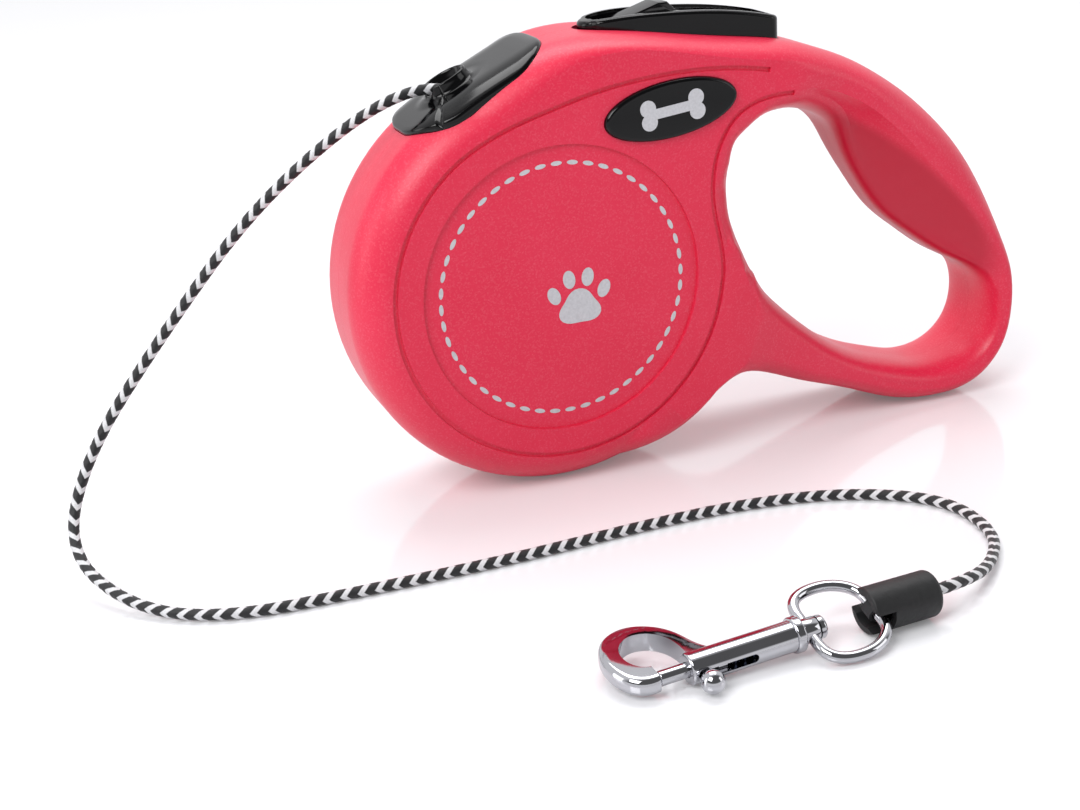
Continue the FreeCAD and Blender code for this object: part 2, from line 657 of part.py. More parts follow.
def brake_button():
    outer = brake_plan(0, 0, skirt_z - 4, neck_top + 10).common(brake_side(0, skirt_z))
    rim = [e for e in outer.Edges if e.BoundBox.ZMin > skirt_z + 1 and e.Length > 1.0]
    outer = outer.makeFillet(brake_rounding, rim)
    inner = brake_plan(-brake_wall, -brake_wall - 1.5, skirt_z - 3, neck_top + 10)
    body = outer.cut(inner.common(brake_side(brake_skin, skirt_z - 1)))
    # solid rear block and the lug round the pivot pin
    block = Part.makeBox(2 * pivot_lug_radius + 1.0, brake_width - 1.0, crown_z - pivot_z,
                         point(pivot_x - pivot_lug_radius, pivot_z, -brake_width / 2 + 0.5))
    inside = brake_plan(-0.5, -0.5, pivot_z - 2, neck_top + 10).common(brake_side(1.0, pivot_z - 2))
    lug = across(pivot_lug_radius, -brake_width / 2 + 0.5, brake_width / 2 - 0.5, pivot_x, pivot_z)
    body = body.fuse([block.common(inside), lug])
    body = body.cut(across(pivot_radius + running_clearance, -far / 4, far / 4, pivot_x, pivot_z))
    # flat track of the lock slider, its stem's slot, and the thumb groove behind it
    track_width = lock_width + 2 * lock_clearance
    track = Part.makeBox(lock_length + lock_travel + 0.4, track_width, 6,
                         point(lock_front - lock_travel - 0.2, track_z, -track_width / 2))
    stem_front = lock_front + (lock_length - stem_length) / 2
    slot = Part.makeBox(stem_length + lock_travel + 0.2, stem_width + 2 * lock_clearance, 12,
                        point(stem_front - lock_travel - 0.1, neck_top - 6, -stem_width / 2 - lock_clearance))
    groove_start = point(lock_front + lock_length + 0.5, neck_top - 6, -groove_width / 2)
    groove = Part.makeBox(14.0, groove_width, 12, groove_start)
    groove = groove.makeFillet(1.2, [e for e in groove.Edges if e.BoundBox.ZLength > 3])
    groove = groove.cut(brake_side(groove_depth, skirt_z - 4))
    sunk = brake_plan(-lip_width, -1.5 * lip_width, neck_top - 2, neck_top + 10)
    sunk = sunk.cut(brake_side(lip_height, skirt_z - 4))
    body = body.cut([track, slot, groove, sunk])
    return body.cut(pawl_plate(pawl_seat_gap))


def brake_lock():
    """Slider on the button's crown: a ramp with a step, a stem through the crown and a foot below it."""
    x = lock_front
    z = track_z + 0.05
    side = [point(x, z, 0), point(x, z + 0.35, 0), point(x + 7.8, z + lock_height, 0),
            point(x + 9.6, z + lock_height, 0), point(x + lock_length, z + 0.7, 0),
            point(x + lock_length, z, 0)]
    ramp = polygon_face(side).extrude(Vector(0, lock_width, 0))
    ramp.translate(Vector(0, -lock_width / 2, 0))
    tops = [e for e in ramp.Edges if e.CenterOfMass.z > z + 0.6 and e.Length > 1.5]
    ramp = ramp.makeFillet(0.45, tops)
    stem_front = x + (lock_length - stem_length) / 2
    ceiling = brake_top(stem_front + stem_length, brake_skin) - lock_clearance
    stem = Part.makeBox(stem_length, stem_width, z + 0.5 - ceiling + lock_foot_height,
                        point(stem_front, ceiling - lock_foot_height, -stem_width / 2))
    foot = Part.makeBox(stem_length, lock_foot_width, lock_foot_height,
                        point(stem_front, ceiling - lock_foot_height, -lock_foot_width / 2))
    return ramp.fuse([stem, foot])


def pawl_plate(grow):
    """The pawl's plate, its sides grow further apart."""
    a = math.radians(pawl_angle)
    tip_r = reel_radius + pawl_clear
    tx = tip_r * math.cos(a)
    tz = axis_z + tip_r * math.sin(a)
    n = pawl_neck / 2
    m = pawl_tip_width / 2
    y = ratchet_front + (flange_thickness - pawl_width) / 2 - grow
    root = tz + pawl_root
    arm_end = pivot_x - pawl_arm_reach
    arm_top = skirt_z + pawl_arm_top
    corners = [
        (tx - m, tz + 0.1), (tx + m, tz - 0.25), (tx + n + 0.3, root), (tx + n + pawl_flare, skirt_z - 0.5),
        (arm_end, skirt_z + 0.6), (arm_end, arm_top), (tx + n + 3, arm_top),
        (tx - n + 2.6, skirt_z + 1.2), (tx - n + 0.4, root),
    ]
    return polygon_face([point(px, pz, y) for px, pz in corners]).extrude(Vector(0, pawl_width + 2 * grow, 0))


def brake_pawl():
    """Stamped pawl let into the button's near skirt: it reaches down between two ratchet teeth."""
    plate = pawl_plate(0)
    uprights = [e for e in plate.Edges if e.BoundBox.YLength > pawl_width - 0.1]
    return plate.makeFillet(0.35, uprights)


def button_spring():
    """Leaf under the button, lying on the floor of its room and rising towards the crown."""
    y = -leaf_width / 2
    z = room_z + leaf_thickness / 2 + seat_gap
    route = [point(22, z, y), point(23.5, z, y), point(25, z + 0.02, y), point(28.5, z + 0.55, y),
             point(33.5, z + 4.2, y), point(38.2, z + 7.4, y)]
    path = Part.BSplineCurve()
    path.interpolate(route)
    upper = []
    lower = []
    for i in range(13):
        u = path.FirstParameter + (path.LastParameter - path.FirstParameter) * i / 12
        t = path.tangent(u)[0]
        side = Vector(-t.z, 0, t.x) * (leaf_thickness / 2)
        upper.append(path.value(u) + side)
        lower.append(path.value(u) - side)
    edges = [spline(upper), line(upper[-1], lower[-1]), spline(list(reversed(lower))), line(lower[0], upper[0])]
    return Part.Face(Part.Wire(edges)).extrude(Vector(0, leaf_width, 0))


# ---------------------------------------------------------------- screws
def screw_places():
    """Where each casing screw stands: x and z from the reel's axis and floor, and its seat's depth."""
    places = []
    for angle in screw_angles:
        spot = around(angle, screw_circle)
        places.append((spot.x - casing_x, spot.z, screw_seat))
    for u, v, seat in loop_screws:
        x, z = at(u, v)
        places.append((x, z, seat))
    return places


def casing_screw(x, z, seat):
    head = across(screw_head_radius, seat, seat + screw_head_height, x, z)
    rim = [e for e in head.Edges if e.CenterOfMass.y > seat + screw_head_height - 0.01]
    head = head.makeFillet(0.5, rim)
    shank = across(screw_radius, seat - screw_length, seat, x, z)
    end = [e for e in shank.Edges if e.CenterOfMass.y < seat - screw_length + 0.01]
    shank = shank.makeChamfer(0.5, end)
    cross = Part.makeBox(2.6, 1.0, 0.6, point(x - 1.3, z - 0.3, seat + 0.8))
    cross = cross.fuse(Part.makeBox(0.6, 1.0, 2.6, point(x - 0.3, z - 1.3, seat + 0.8)))
    return head.fuse(shank).cut(cross)


# ---------------------------------------------------------------- badge
def badge_shape(grow, depth, proud):
    """An oval let into the front face."""
    centre = point(badge_x, axis_z + badge_up, -half_thickness - proud)
    oval = Part.Ellipse(Vector(0, 0, 0), badge_length / 2 + grow, badge_height / 2 + grow)
    face = Part.Face(Part.Wire(oval.toShape()))
    face.rotate(Vector(0, 0, 0), Vector(1, 0, 0), 90)
    face.rotate(Vector(0, 0, 0), Vector(0, 1, 0), -badge_tilt)
    face.translate(centre)
    return face.extrude(Vector(0, proud + depth, 0))


def oval_badge():
    plate = badge_shape(0, badge_sink, badge_dome)
    rim = [e for e in plate.Edges if e.CenterOfMass.y < -half_thickness - badge_dome + 0.05 and e.Length > 20]
    return plate.makeFillet(badge_dome - 0.1, rim)


# ---------------------------------------------------------------- casing halves
def casing_skin():
    trim = Part.makeBox(2 * far, 2 * half_thickness, far, Vector(-far, -half_thickness, 0))
    loop = neck_and_loop().common(trim)
    hand_room = polygon_face([point(35.4, 36.5, -far), point(32.8, 42.5, -far), point(31.2, 50, -far),
                              point(32.4, 57, -far), point(60, 57, -far), point(60, 36.5, -far)])
    hand_room = hand_room.extrude(Vector(0, 2 * far, 0))
    disc = casing_disc().cut(hand_room)
    return disc.fuse(beside_opening()).fuse(arm_root().common(trim)).fuse(loop)


def casing_halves():
    skin = casing_skin()
    panels = [across(face_recess_radius, -far, -half_thickness + face_recess_depth),
              across(face_recess_radius, half_thickness - face_recess_depth, far)]
    skin = skin.cut(panels)
    for side in (-1, 1):
        for cut in face_lines(side):
            skin = skin.cut(cut)
    pawl_x = reel_radius * math.cos(math.radians(pawl_angle))
    rooms = [
        casing_cavity(),
        brake_plan(brake_gap, brake_tip_gap, room_z, far),
        Part.makeBox(10.5, 3.2, 14, point(pawl_x - 3.2, room_z - 9, ratchet_front - 0.75)),
        across(pivot_radius, -pivot_length / 2, pivot_length / 2, pivot_x, pivot_z),
        outlet_plan(seat_gap).cut(rim_skin(-outlet_depth - seat_gap)),
        cord_way(cord_way_radius, 14, 0.5),
        badge_shape(seat_gap, badge_sink, badge_dome + 1),
    ]
    for room in rooms:
        skin = skin.cut(room)
    bosses = []
    for side in (-1, 1):
        y0 = min(side * inner_half, side * (inner_half - axle_boss_height))
        bosses.append(across(axle_boss_radius, y0, y0 + axle_boss_height))
    for angle in screw_angles:
        spot = around(angle, screw_circle)
        bosses.append(across(screw_boss_radius, -9.5, 9.5, spot.x - casing_x, spot.z))
    skin = skin.fuse(bosses)
    skin = skin.cut(across(axle_radius, -inner_half, inner_half))
    front = skin.common(slab(-far, -parting_gap / 2))
    back = skin.common(slab(parting_gap / 2, far))
    for x, z, seat in screw_places():
        front = front.cut(across(screw_radius, seat - screw_length - 0.5, far / 2, x, z))
        back = back.cut(across(screw_hole_radius, -1, seat + 0.1, x, z))
        back = back.cut(across(screw_pocket_radius, seat, far, x, z))
    return front, back


# ---------------------------------------------------------------- reel
def annulus(outer, inner, y0, y1):
    return across(outer, y0, y1).cut(across(inner, y0 - 1, y1 + 1))


def ratchet_outline():
    """Saw teeth round the front flange; the steep faces meet the pawl when the cord pulls out."""
    pitch = 360.0 / ratchet_teeth
    root = reel_radius - tooth_depth
    face_angle = pawl_angle - pawl_turn - pawl_set
    corners = []
    for i in range(ratchet_teeth):
        a = face_angle + i * pitch
        corners.append(around(a, root, ratchet_front))
        corners.append(around(a + 0.24 * pitch, root, ratchet_front))
        corners.append(around(a + 0.87 * pitch, reel_radius, ratchet_front))
        corners.append(around(a + pitch, reel_radius, ratchet_front))
    return polygon_face(corners).extrude(Vector(0, flange_thickness, 0))


def reel():
    bore = axle_radius + running_clearance
    body = ratchet_outline()
    hub = across(axle_boss_radius, -reel_half, flange_back)
    drum = annulus(drum_radius, drum_inner, flange_back - 0.2, reel_half)
    flange = annulus(back_flange_radius, drum_inner, reel_half - flange_thickness, reel_half)
    ribs = []
    for i in range(reel_ribs):
        rib_run = back_flange_radius - axle_boss_radius - 2.5
        rib_box = Part.makeBox(rib_run, reel_rib_height + 0.2, reel_rib_thickness,
                               Vector(axle_boss_radius - 0.5, -reel_rib_height, -reel_rib_thickness / 2))
        rib_box.rotate(Vector(0, 0, 0), Vector(0, 1, 0), 360.0 * i / reel_ribs)
        rib_box.translate(point(0, axis_z, ratchet_front))
        ribs.append(rib_box)
    ribs.append(annulus(back_flange_radius - 3.0, back_flange_radius - 4.2,
                        ratchet_front - reel_rib_height, ratchet_front + 0.2))
    body = body.fuse([hub, drum, flange] + ribs)
    body = body.cut(across(bore, -far / 4, far / 4))
    # lightening holes in the front web, between the ribs
    for i in range(reel_ribs):
        spot = around(360.0 * (i + 0.5) / reel_ribs, 12.0)
        body = body.cut(across(2.4, ratchet_front - 1, flange_back + 1, spot.x - casing_x, spot.z))
    return body


def reel_cover():
    y1 = reel_half
    disc = annulus(drum_inner, axle_radius + running_clearance, y1 - reel_cover_thickness, y1)
    under = y1 - reel_cover_thickness
    rim = annulus(drum_inner - 1.2, drum_inner - 2.2, under - 0.8, under + 0.1)
    return disc.fuse(rim)


def cord_winding():
    """The wound cord, its outer layer rounded turn by turn."""
    y0 = flange_back
    y1 = reel_half - flange_thickness
    turns = int((y1 - y0) / cord_diameter)
    pitch = (y1 - y0) / turns
    r = winding_radius
    edges = [line(point(0, axis_z + drum_radius, y0), point(0, axis_z + r - 0.4, y0))]
    for i in range(turns):
        a = y0 + i * pitch
        edges.append(curve(point(0, axis_z + r - 0.4, a), point(0, axis_z + r + 0.15, a + 0.2 * pitch),
                           point(0, axis_z + r + 0.15, a + 0.8 * pitch), point(0, axis_z + r - 0.4, a + pitch)))
    edges.append(line(point(0, axis_z + r - 0.4, y1), point(0, axis_z + drum_radius, y1)))
    edges.append(line(point(0, axis_z + drum_radius, y1), point(0, axis_z + drum_radius, y0)))
    return Part.Face(Part.Wire(edges)).revolve(point(0, axis_z), Vector(0, 1, 0), 360)


def mainspring():
    """Flat spiral between the arbor and the drum's wall."""
    y0 = flange_back + spring_side_gap
    width = reel_half - reel_cover_thickness - spring_side_gap - y0
    start = arbor_radius - 0.5
    end = drum_inner - 1.2
    steps = 12 * spring_turns
    outer = []
    inner = []
    for i in range(steps + 1):
        share = i / steps
        radius = start + (end - start) * share
        angle = 360.0 * spring_turns * share
        outer.append(around(angle, radius + spring_strip / 2, y0))
        inner.append(around(angle, radius - spring_strip / 2, y0))
    edges = [spline(outer), line(outer[-1], inner[-1]), spline(list(reversed(inner))), line(inner[0], outer[0])]
    return Part.Face(Part.Wire(edges)).extrude(Vector(0, width, 0))


def axle(spring):
    y0 = flange_back + side_clearance
    y1 = reel_half - reel_cover_thickness - side_clearance
    shaft = across(axle_radius, -inner_half, inner_half)
    return shaft.fuse(across(arbor_radius, y0, y1)).cut(spring)


def reel_washer(side):
    y0 = min(side * (reel_half + end_play), side * (reel_half + end_play + washer_thickness))
    return annulus(axle_boss_radius, axle_radius, y0, y0 + washer_thickness)


# ---------------------------------------------------------------- cord and its end
def leash_cord():
    radii = []
    for i in range(1, len(cord_corners) - 1):
        before = cord_corners[i] - cord_corners[i - 1]
        after = cord_corners[i + 1] - cord_corners[i]
        short = min(before.Length, after.Length)
        radii.append(0.45 * short / math.tan(before.getAngle(after) / 2))
    route = rounded_route(cord_corners, radii)
    cord = bar_along(route, cord_radius)
    print("cord radii", [round(r, 1) for r in radii])
    full = route.Length * math.pi * cord_radius ** 2
    print("cord length %.1f" % route.Length, "volume %.1f of %.1f" % (cord.Volume, full))
    print("floor %.3f" % cord.BoundBox.ZMin)
    return cord


def along_x(radius, x0, x1, y=0.0, z=0.0):
    return Part.makeCylinder(radius, x1 - x0, Vector(x0, y, z), Vector(1, 0, 0))


def end_sleeve():
    body = along_x(sleeve_radius, 0, sleeve_length)
    body = body.makeFillet(1.0, [e for e in body.Edges if abs(e.CenterOfMass.x) < 0.01])
    body = body.makeFillet(0.4, [e for e in body.Edges if abs(e.CenterOfMass.x - sleeve_length) < 0.01])
    body = body.cut(along_x(sleeve_bore, sleeve_floor, sleeve_length + 1))
    body = placed(body.cut(along_x(cord_radius, -1, sleeve_floor + 1)), sleeve_place)
    notch = Part.makeBox(notch_length + 1, 4 * sleeve_radius, 2 * notch_half,
                         Vector(sleeve_length - notch_length, -2 * sleeve_radius, -notch_half))
    return body.cut(placed(notch, rolled_place))


def cord_crimp():
    body = along_x(crimp_radius, sleeve_floor, sleeve_floor + crimp_length)
    rims = [e for e in body.Edges if e.Length > crimp_radius * 6]
    return placed(body.makeFillet(0.4, rims), sleeve_place)


def cord_loop():
    """The cord's flattened end, looped round the ring's bow."""
    bow = sleeve_length - ring_inside
    inner = ring_wire + running_clearance
    outer = inner + strap_thickness
    loop = Part.makeCylinder(outer, strap_width, Vector(bow, -strap_width / 2, 0), Vector(0, 1, 0))
    legs = Part.makeBox(bow - sleeve_floor - crimp_length, strap_width, 2 * outer,
                        Vector(sleeve_floor + crimp_length, -strap_width / 2, -outer))
    hole = Part.makeCylinder(inner, strap_width + 2, Vector(bow, -strap_width / 2 - 1, 0), Vector(0, 1, 0))
    gap = Part.makeBox(bow - sleeve_floor - crimp_length - 1.2, strap_width + 2, 2 * inner,
                       Vector(sleeve_floor + crimp_length + 1.2, -strap_width / 2 - 1, -inner))
    return placed(loop.fuse(legs).cut([hole, gap]), rolled_place)


def swivel_ring():
    h = ring_half_height
    n = ring_neck
    d = ring_depth
    start = Vector(0, 0, 0)
    corners = [start, Vector(0, n, 0), Vector(0.43 * d, h + 0.4, 0), Vector(d, h - 0.2, 0), Vector(d, 0, 0)]
    radii = [1.5, 4.0, 3.2]
    upper = bar_along(rounded_route(corners, radii), ring_wire)
    lower = upper.mirror(Vector(0, 0, 0), Vector(0, 1, 0))
    boss = along_x(boss_radius, d - boss_length / 2, d + boss_length / 2)
    boss = boss.makeFillet(0.3, [e for e in boss.Edges if e.Length > boss_radius * 6])
    ring = upper.fuse(lower).fuse(boss)
    ring = ring.cut(along_x(shank_radius + running_clearance, d - 5, d + 5))
    return placed(ring, ring_place)


bolt_front = boss_length / 2 + end_play + collar_length + barrel_length


def snap_body():
    """Shank, collar and barrel along X, and the hook on the far side; X starts at the ring's eye."""
    x0 = boss_length / 2 + end_play
    f = bolt_front
    shank = along_x(shank_radius, -x0, x0 + 0.5)
    collar = along_x(collar_radius, x0, x0 + collar_length)
    collar = collar.makeFillet(0.4, [e for e in collar.Edges if e.Length > collar_radius * 6])
    barrel = along_x(barrel_radius, x0 + 0.5, f)
    barrel = barrel.makeFillet(0.5, [e for e in barrel.Edges if abs(e.CenterOfMass.x - f) < 0.01])

    def spot(x, far_side):
        return Vector(f + x, -far_side, -hook_half)

    outside = [spot(-6.5, 1.5), spot(-4.4, 3.6), spot(-2.6, 8.0), spot(0.6, 11.6), spot(4.6, 12.9),
               spot(8.4, 11.6), spot(10.7, 7.8), spot(10.9, 3.2), spot(8.8, -0.9), spot(bolt_nose + 0.3, -1.75)]
    inside = [spot(bolt_nose + 0.3, 1.45), spot(6.7, 2.2), spot(7.9, 4.6), spot(7.5, 7.6), spot(5.2, 9.6),
              spot(2.2, 9.3), spot(0.0, 7.2), spot(-0.9, 4.4), spot(-1.0, 1.9)]
    edges = [spline(outside), line(outside[-1], inside[0]), spline(inside), line(inside[-1], spot(-1.0, 0.9)),
             line(spot(-1.0, 0.9), spot(-6.5, 0.9)), line(spot(-6.5, 0.9), outside[0])]
    hook = Part.Face(Part.Wire(edges)).extrude(Vector(0, 0, 2 * hook_half))
    hook = hook.makeFillet(hook_rounding, [e for e in hook.Edges if e.Length > 30])
    body = barrel.fuse([shank, collar, hook])
    body = body.cut(along_x(bolt_radius + running_clearance, f - 3, f + 2))
    body = body.cut(along_x(barrel_bore, x0 + 3.2, f - 2.4))
    slot = Part.makeBox(bolt_travel + slot_width + 1.6, 6, slot_width,
                        Vector(f - knob_back - bolt_travel - slot_width / 2 - 1.2, 0.5, -slot_width / 2))
    slot = slot.makeFillet(slot_width * 0.45, [e for e in slot.Edges if e.BoundBox.YLength > 5])
    return placed(body.cut(slot), snap_place)


def snap_bolt():
    f = bolt_front
    rod = along_x(bolt_radius, f - knob_back - 2.5 - piston_length, f + bolt_nose)
    rod = rod.makeFillet(0.35, [e for e in rod.Edges if abs(e.CenterOfMass.x - f - bolt_nose) < 0.01])
    piston = along_x(barrel_bore - running_clearance, f - knob_back - 2.5 - piston_length, f - knob_back - 2.5)
    stem = Part.makeCylinder(0.6, knob_reach, Vector(f - knob_back, 0, 0), Vector(0, 1, 0))
    knob = Part.makeSphere(knob_radius, Vector(f - knob_back, knob_reach, 0))
    knob = knob.cut(Part.makeBox(8, 4, 8, Vector(f - knob_back - 4, knob_reach - 1.5 - 4, -4)))
    return placed(rod.fuse([piston, stem, knob]), snap_place)


def snap_spring():
    f = bolt_front
    x0 = boss_length / 2 + end_play + 3.2
    x1 = f - knob_back - 2.5 - piston_length
    height = x1 - x0 - 2 * spring_wire
    radius = barrel_bore - spring_wire - 0.15
    pitch = height / 6
    helix = Part.makeHelix(pitch, height, radius)
    slope = Vector(0, 1, pitch / (2 * math.pi * radius))
    wire = Part.Wire(Part.makeCircle(spring_wire, Vector(radius, 0, 0), slope))
    coil = Part.Wire(helix.Edges).makePipeShell([wire], True, True)
    coil.rotate(Vector(0, 0, 0), Vector(0, 1, 0), 90)
    coil.translate(Vector(x0 + spring_wire, 0, 0))
    return placed(coil, snap_place)


def swivel_rivet():
    x1 = -boss_length / 2 - end_play
    head = along_x(rivet_radius, x1 - rivet_height, x1)
    rim = [e for e in head.Edges if abs(e.CenterOfMass.x - x1 + rivet_height) < 0.01]
    return placed(head.makeFillet(0.6, rim), snap_place)


casing_front, casing_back = casing_halves()
write("casing_front", casing_front)
write("casing_back", casing_back)
number = 0
for spot_x, spot_z, seat_y in screw_places():
    number += 1
    write("casing_screw_%d" % number, casing_screw(spot_x, spot_z, seat_y))
write("oval_badge", oval_badge())
write("cord_outlet", cord_outlet())
write("brake_button", brake_button())
write("brake_lock", brake_lock())
write("brake_pawl", brake_pawl())
write("button_pivot_pin", across(pivot_radius, -pivot_length / 2, pivot_length / 2, pivot_x, pivot_z))
write("button_spring", button_spring())
write("reel", reel())
write("reel_cover", reel_cover())
write("cord_winding", cord_winding())
coil_spring = mainspring()
write("mainspring", coil_spring)
write("axle", axle(coil_spring))
write("reel_washer_front", reel_washer(-1))
write("reel_washer_back", reel_washer(1))
write("leash_cord", leash_cord())
write("end_sleeve", end_sleeve())
write("cord_crimp", cord_crimp())
write("cord_loop", cord_loop())
write("swivel_ring", swivel_ring())
write("snap_body", snap_body())
write("snap_bolt", snap_bolt())
write("snap_spring", snap_spring())
write("swivel_rivet", swivel_rivet())


def show(label, vector):
    print("%s (%.5f, %.5f, %.5f)" % (label, vector.x, vector.y, vector.z))


show("reel axis", point(0, axis_z))
show("brake pin", point(pivot_x, pivot_z))
bow_middle = Vector(sleeve_length - ring_inside, 0, 0)
show("ring pivot", rolled_place.multVec(bow_middle))
show("ring pivot axis", rolled_place.Rotation.multVec(Vector(0, 1, 0)))
show("snap pivot", snap_place.multVec(Vector(0, 0, 0)))
show("snap axis", snap_place.Rotation.multVec(Vector(1, 0, 0)))
show("hook's eye", snap_place.multVec(Vector(bolt_front + 3.5, -5.5, 0)))
show("cord's exit", mouth)
print("winding radius %.2f, reel half %.2f, casing x %.3f" % (winding_radius, reel_half, casing_x))
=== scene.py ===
import json
import math

import bmesh
import bpy
from mathutils import Matrix, Vector


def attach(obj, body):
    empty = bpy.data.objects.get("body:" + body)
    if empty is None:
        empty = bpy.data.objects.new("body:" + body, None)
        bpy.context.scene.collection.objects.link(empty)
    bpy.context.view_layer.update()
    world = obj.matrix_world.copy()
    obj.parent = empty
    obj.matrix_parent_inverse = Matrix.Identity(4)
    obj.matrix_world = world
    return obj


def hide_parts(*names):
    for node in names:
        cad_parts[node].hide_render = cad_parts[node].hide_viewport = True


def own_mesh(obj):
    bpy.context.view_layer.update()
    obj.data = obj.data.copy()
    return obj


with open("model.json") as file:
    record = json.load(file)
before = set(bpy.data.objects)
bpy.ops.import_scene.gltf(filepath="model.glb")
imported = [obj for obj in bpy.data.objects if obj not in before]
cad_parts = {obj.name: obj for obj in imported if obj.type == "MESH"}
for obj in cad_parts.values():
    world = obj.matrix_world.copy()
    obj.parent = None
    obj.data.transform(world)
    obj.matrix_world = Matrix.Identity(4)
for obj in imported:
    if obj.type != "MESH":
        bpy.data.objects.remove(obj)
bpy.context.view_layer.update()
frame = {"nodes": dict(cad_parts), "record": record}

# A retractable dog leash on a white board: copies of the CAD nodes with their materials, a braided cord, a fine
# outlet plate and ring, plain prints, floor, light and camera. Lengths are in millimetres unless a comment or a
# factor MM says otherwise. In the frame x runs to the handle, y away from the viewer and z up from the floor.
MM = 0.001
CASING_X, REEL_Z = -30.8, 38.7      # the reel's axis in the frame
SAME_SPOT = 0.002 * MM              # vertices closer than this are one


# ------------------------------------------------------------------ camera
VIEW_AZIMUTH, VIEW_ELEVATION, VIEW_ROLL = math.radians(-19.5), math.radians(21.3), math.radians(-3.7)
VIEW_TARGET, VIEW_DISTANCE = Vector((-32.2, 0.0, 11.9)) * MM, 348.0 * MM


def make_camera():
    """A 60 mm lens on a full frame, a little above the leash, to its left and rolled slightly."""
    azimuth, elevation, roll = VIEW_AZIMUTH, VIEW_ELEVATION, VIEW_ROLL
    back = Vector((math.sin(azimuth) * math.cos(elevation), -math.cos(azimuth) * math.cos(elevation),
                   math.sin(elevation)))
    right = Vector((math.cos(azimuth), math.sin(azimuth), 0.0))
    up = back.cross(right)
    turned_right = right * math.cos(roll) + up * math.sin(roll)
    turned_up = up * math.cos(roll) - right * math.sin(roll)
    lens = bpy.data.cameras.new("camera")
    lens.lens = 60.0
    lens.sensor_width = 36.0
    lens.clip_start = 0.01
    camera = bpy.data.objects.new("camera", lens)
    axes = Matrix((turned_right, turned_up, back)).transposed().to_4x4()
    camera.matrix_world = Matrix.Translation(VIEW_TARGET + back * VIEW_DISTANCE) @ axes
    bpy.context.scene.collection.objects.link(camera)
    bpy.context.scene.camera = camera


# ------------------------------------------------------------------ building materials
def add_node(tree, kind, links=None, **settings):
    """Adds a node; links gives an input a value or another node's output."""
    new = tree.nodes.new(kind)
    for name, value in settings.items():
        setattr(new, name, value)
    for name, value in (links or {}).items():
        if isinstance(value, bpy.types.NodeSocket):
            tree.links.new(value, new.inputs[name])
        else:
            new.inputs[name].default_value = value
    return new


def colour(code):
    """An sRGB hex value as the linear colour Blender wants."""
    parts = [int(code[i:i + 2], 16) / 255 for i in (1, 3, 5)]
    return [c / 12.92 if c <= 0.04045 else ((c + 0.055) / 1.055) ** 2.4 for c in parts] + [1.0]


def new_material(name):
    """An empty node material and its tree."""
    material = bpy.data.materials.new(name)
    material.use_nodes = True
    tree = material.node_tree
    tree.nodes.clear()
    return material, tree


def finish_material(tree, shader):
    add_node(tree, "ShaderNodeOutputMaterial", {"Surface": shader.outputs[0]})


def two_tone(tree, factor, first, second):
    """A colour that wanders between two hex tones."""
    mix = add_node(tree, "ShaderNodeMix", {0: factor, 6: colour(first), 7: colour(second)}, data_type="RGBA")
    return mix.outputs[2]


# The oval inside the grip: here the plastic is smooth, without flake, and painted darker as shade
GRIP_CENTRE, GRIP_TILT = (0.0385, 0.0, 0.0455), (0.0, math.radians(39), 0.0)
GRIP_REACH = (0.032, 1.0, 0.009)    # half axes of the oval where the fingers go, right through in y


def casing_plastic(name, base, light, grip_shade, flake_colour, grain):
    """Moulded ABS with fine metal flake: a spark-eroded grain breaks up the highlight. The fingers' side of the
    handle is smoother and has no flake; its darker tone there is painted shade, as little light falls inside
    the grip."""
    material, tree = new_material(name)
    place = add_node(tree, "ShaderNodeTexCoord").outputs["Object"]
    flake = add_node(tree, "ShaderNodeTexVoronoi", {"Vector": place, "Scale": 3600.0}, feature="F1")
    spark = add_node(tree, "ShaderNodeMapRange", {
        "Value": flake.outputs["Color"], "From Min": 0.55, "From Max": 1.0})
    soft = add_node(tree, "ShaderNodeTexNoise", {"Vector": place, "Scale": 60.0, "Detail": 2.0})
    tone = two_tone(tree, soft.outputs[0], base, light)
    grip = add_node(tree, "ShaderNodeMapping", {
        "Vector": place, "Location": GRIP_CENTRE, "Rotation": GRIP_TILT, "Scale": GRIP_REACH},
        vector_type="TEXTURE")
    away = add_node(tree, "ShaderNodeVectorMath", {0: grip.outputs[0]}, operation="LENGTH")
    rest = add_node(tree, "ShaderNodeMapRange", {
        "Value": away.outputs["Value"], "From Min": 0.85, "From Max": 1.1}, interpolation_type="SMOOTHSTEP")
    # painted shade: inside the grip oval the colour turns to the darker shade tone
    deep = add_node(tree, "ShaderNodeMix", {0: rest.outputs[0], 6: colour(grip_shade), 7: tone}, data_type="RGBA")
    dust = add_node(tree, "ShaderNodeMath", {0: rest.outputs[0], 1: grain}, operation="MULTIPLY")
    sparkle = add_node(tree, "ShaderNodeMath", {0: spark.outputs[0], 1: dust.outputs[0]}, operation="MULTIPLY")
    mixed = add_node(tree, "ShaderNodeMix", {
        0: sparkle.outputs[0], 6: deep.outputs[2], 7: colour(flake_colour)}, data_type="RGBA")
    grit = add_node(tree, "ShaderNodeTexNoise", {
        "Vector": place, "Scale": 1900.0, "Detail": 3.0, "Roughness": 0.65})
    bump = add_node(tree, "ShaderNodeBump", {"Height": grit.outputs[0], "Strength": 0.3, "Distance": 0.00010})
    shader = add_node(tree, "ShaderNodeBsdfPrincipled", {
        "Base Color": mixed.outputs[2], "Roughness": 0.38, "Specular IOR Level": 0.42,
        "Normal": bump.outputs[0], "Coat Weight": 0.18, "Coat Roughness": 0.42})
    finish_material(tree, shader)
    return material


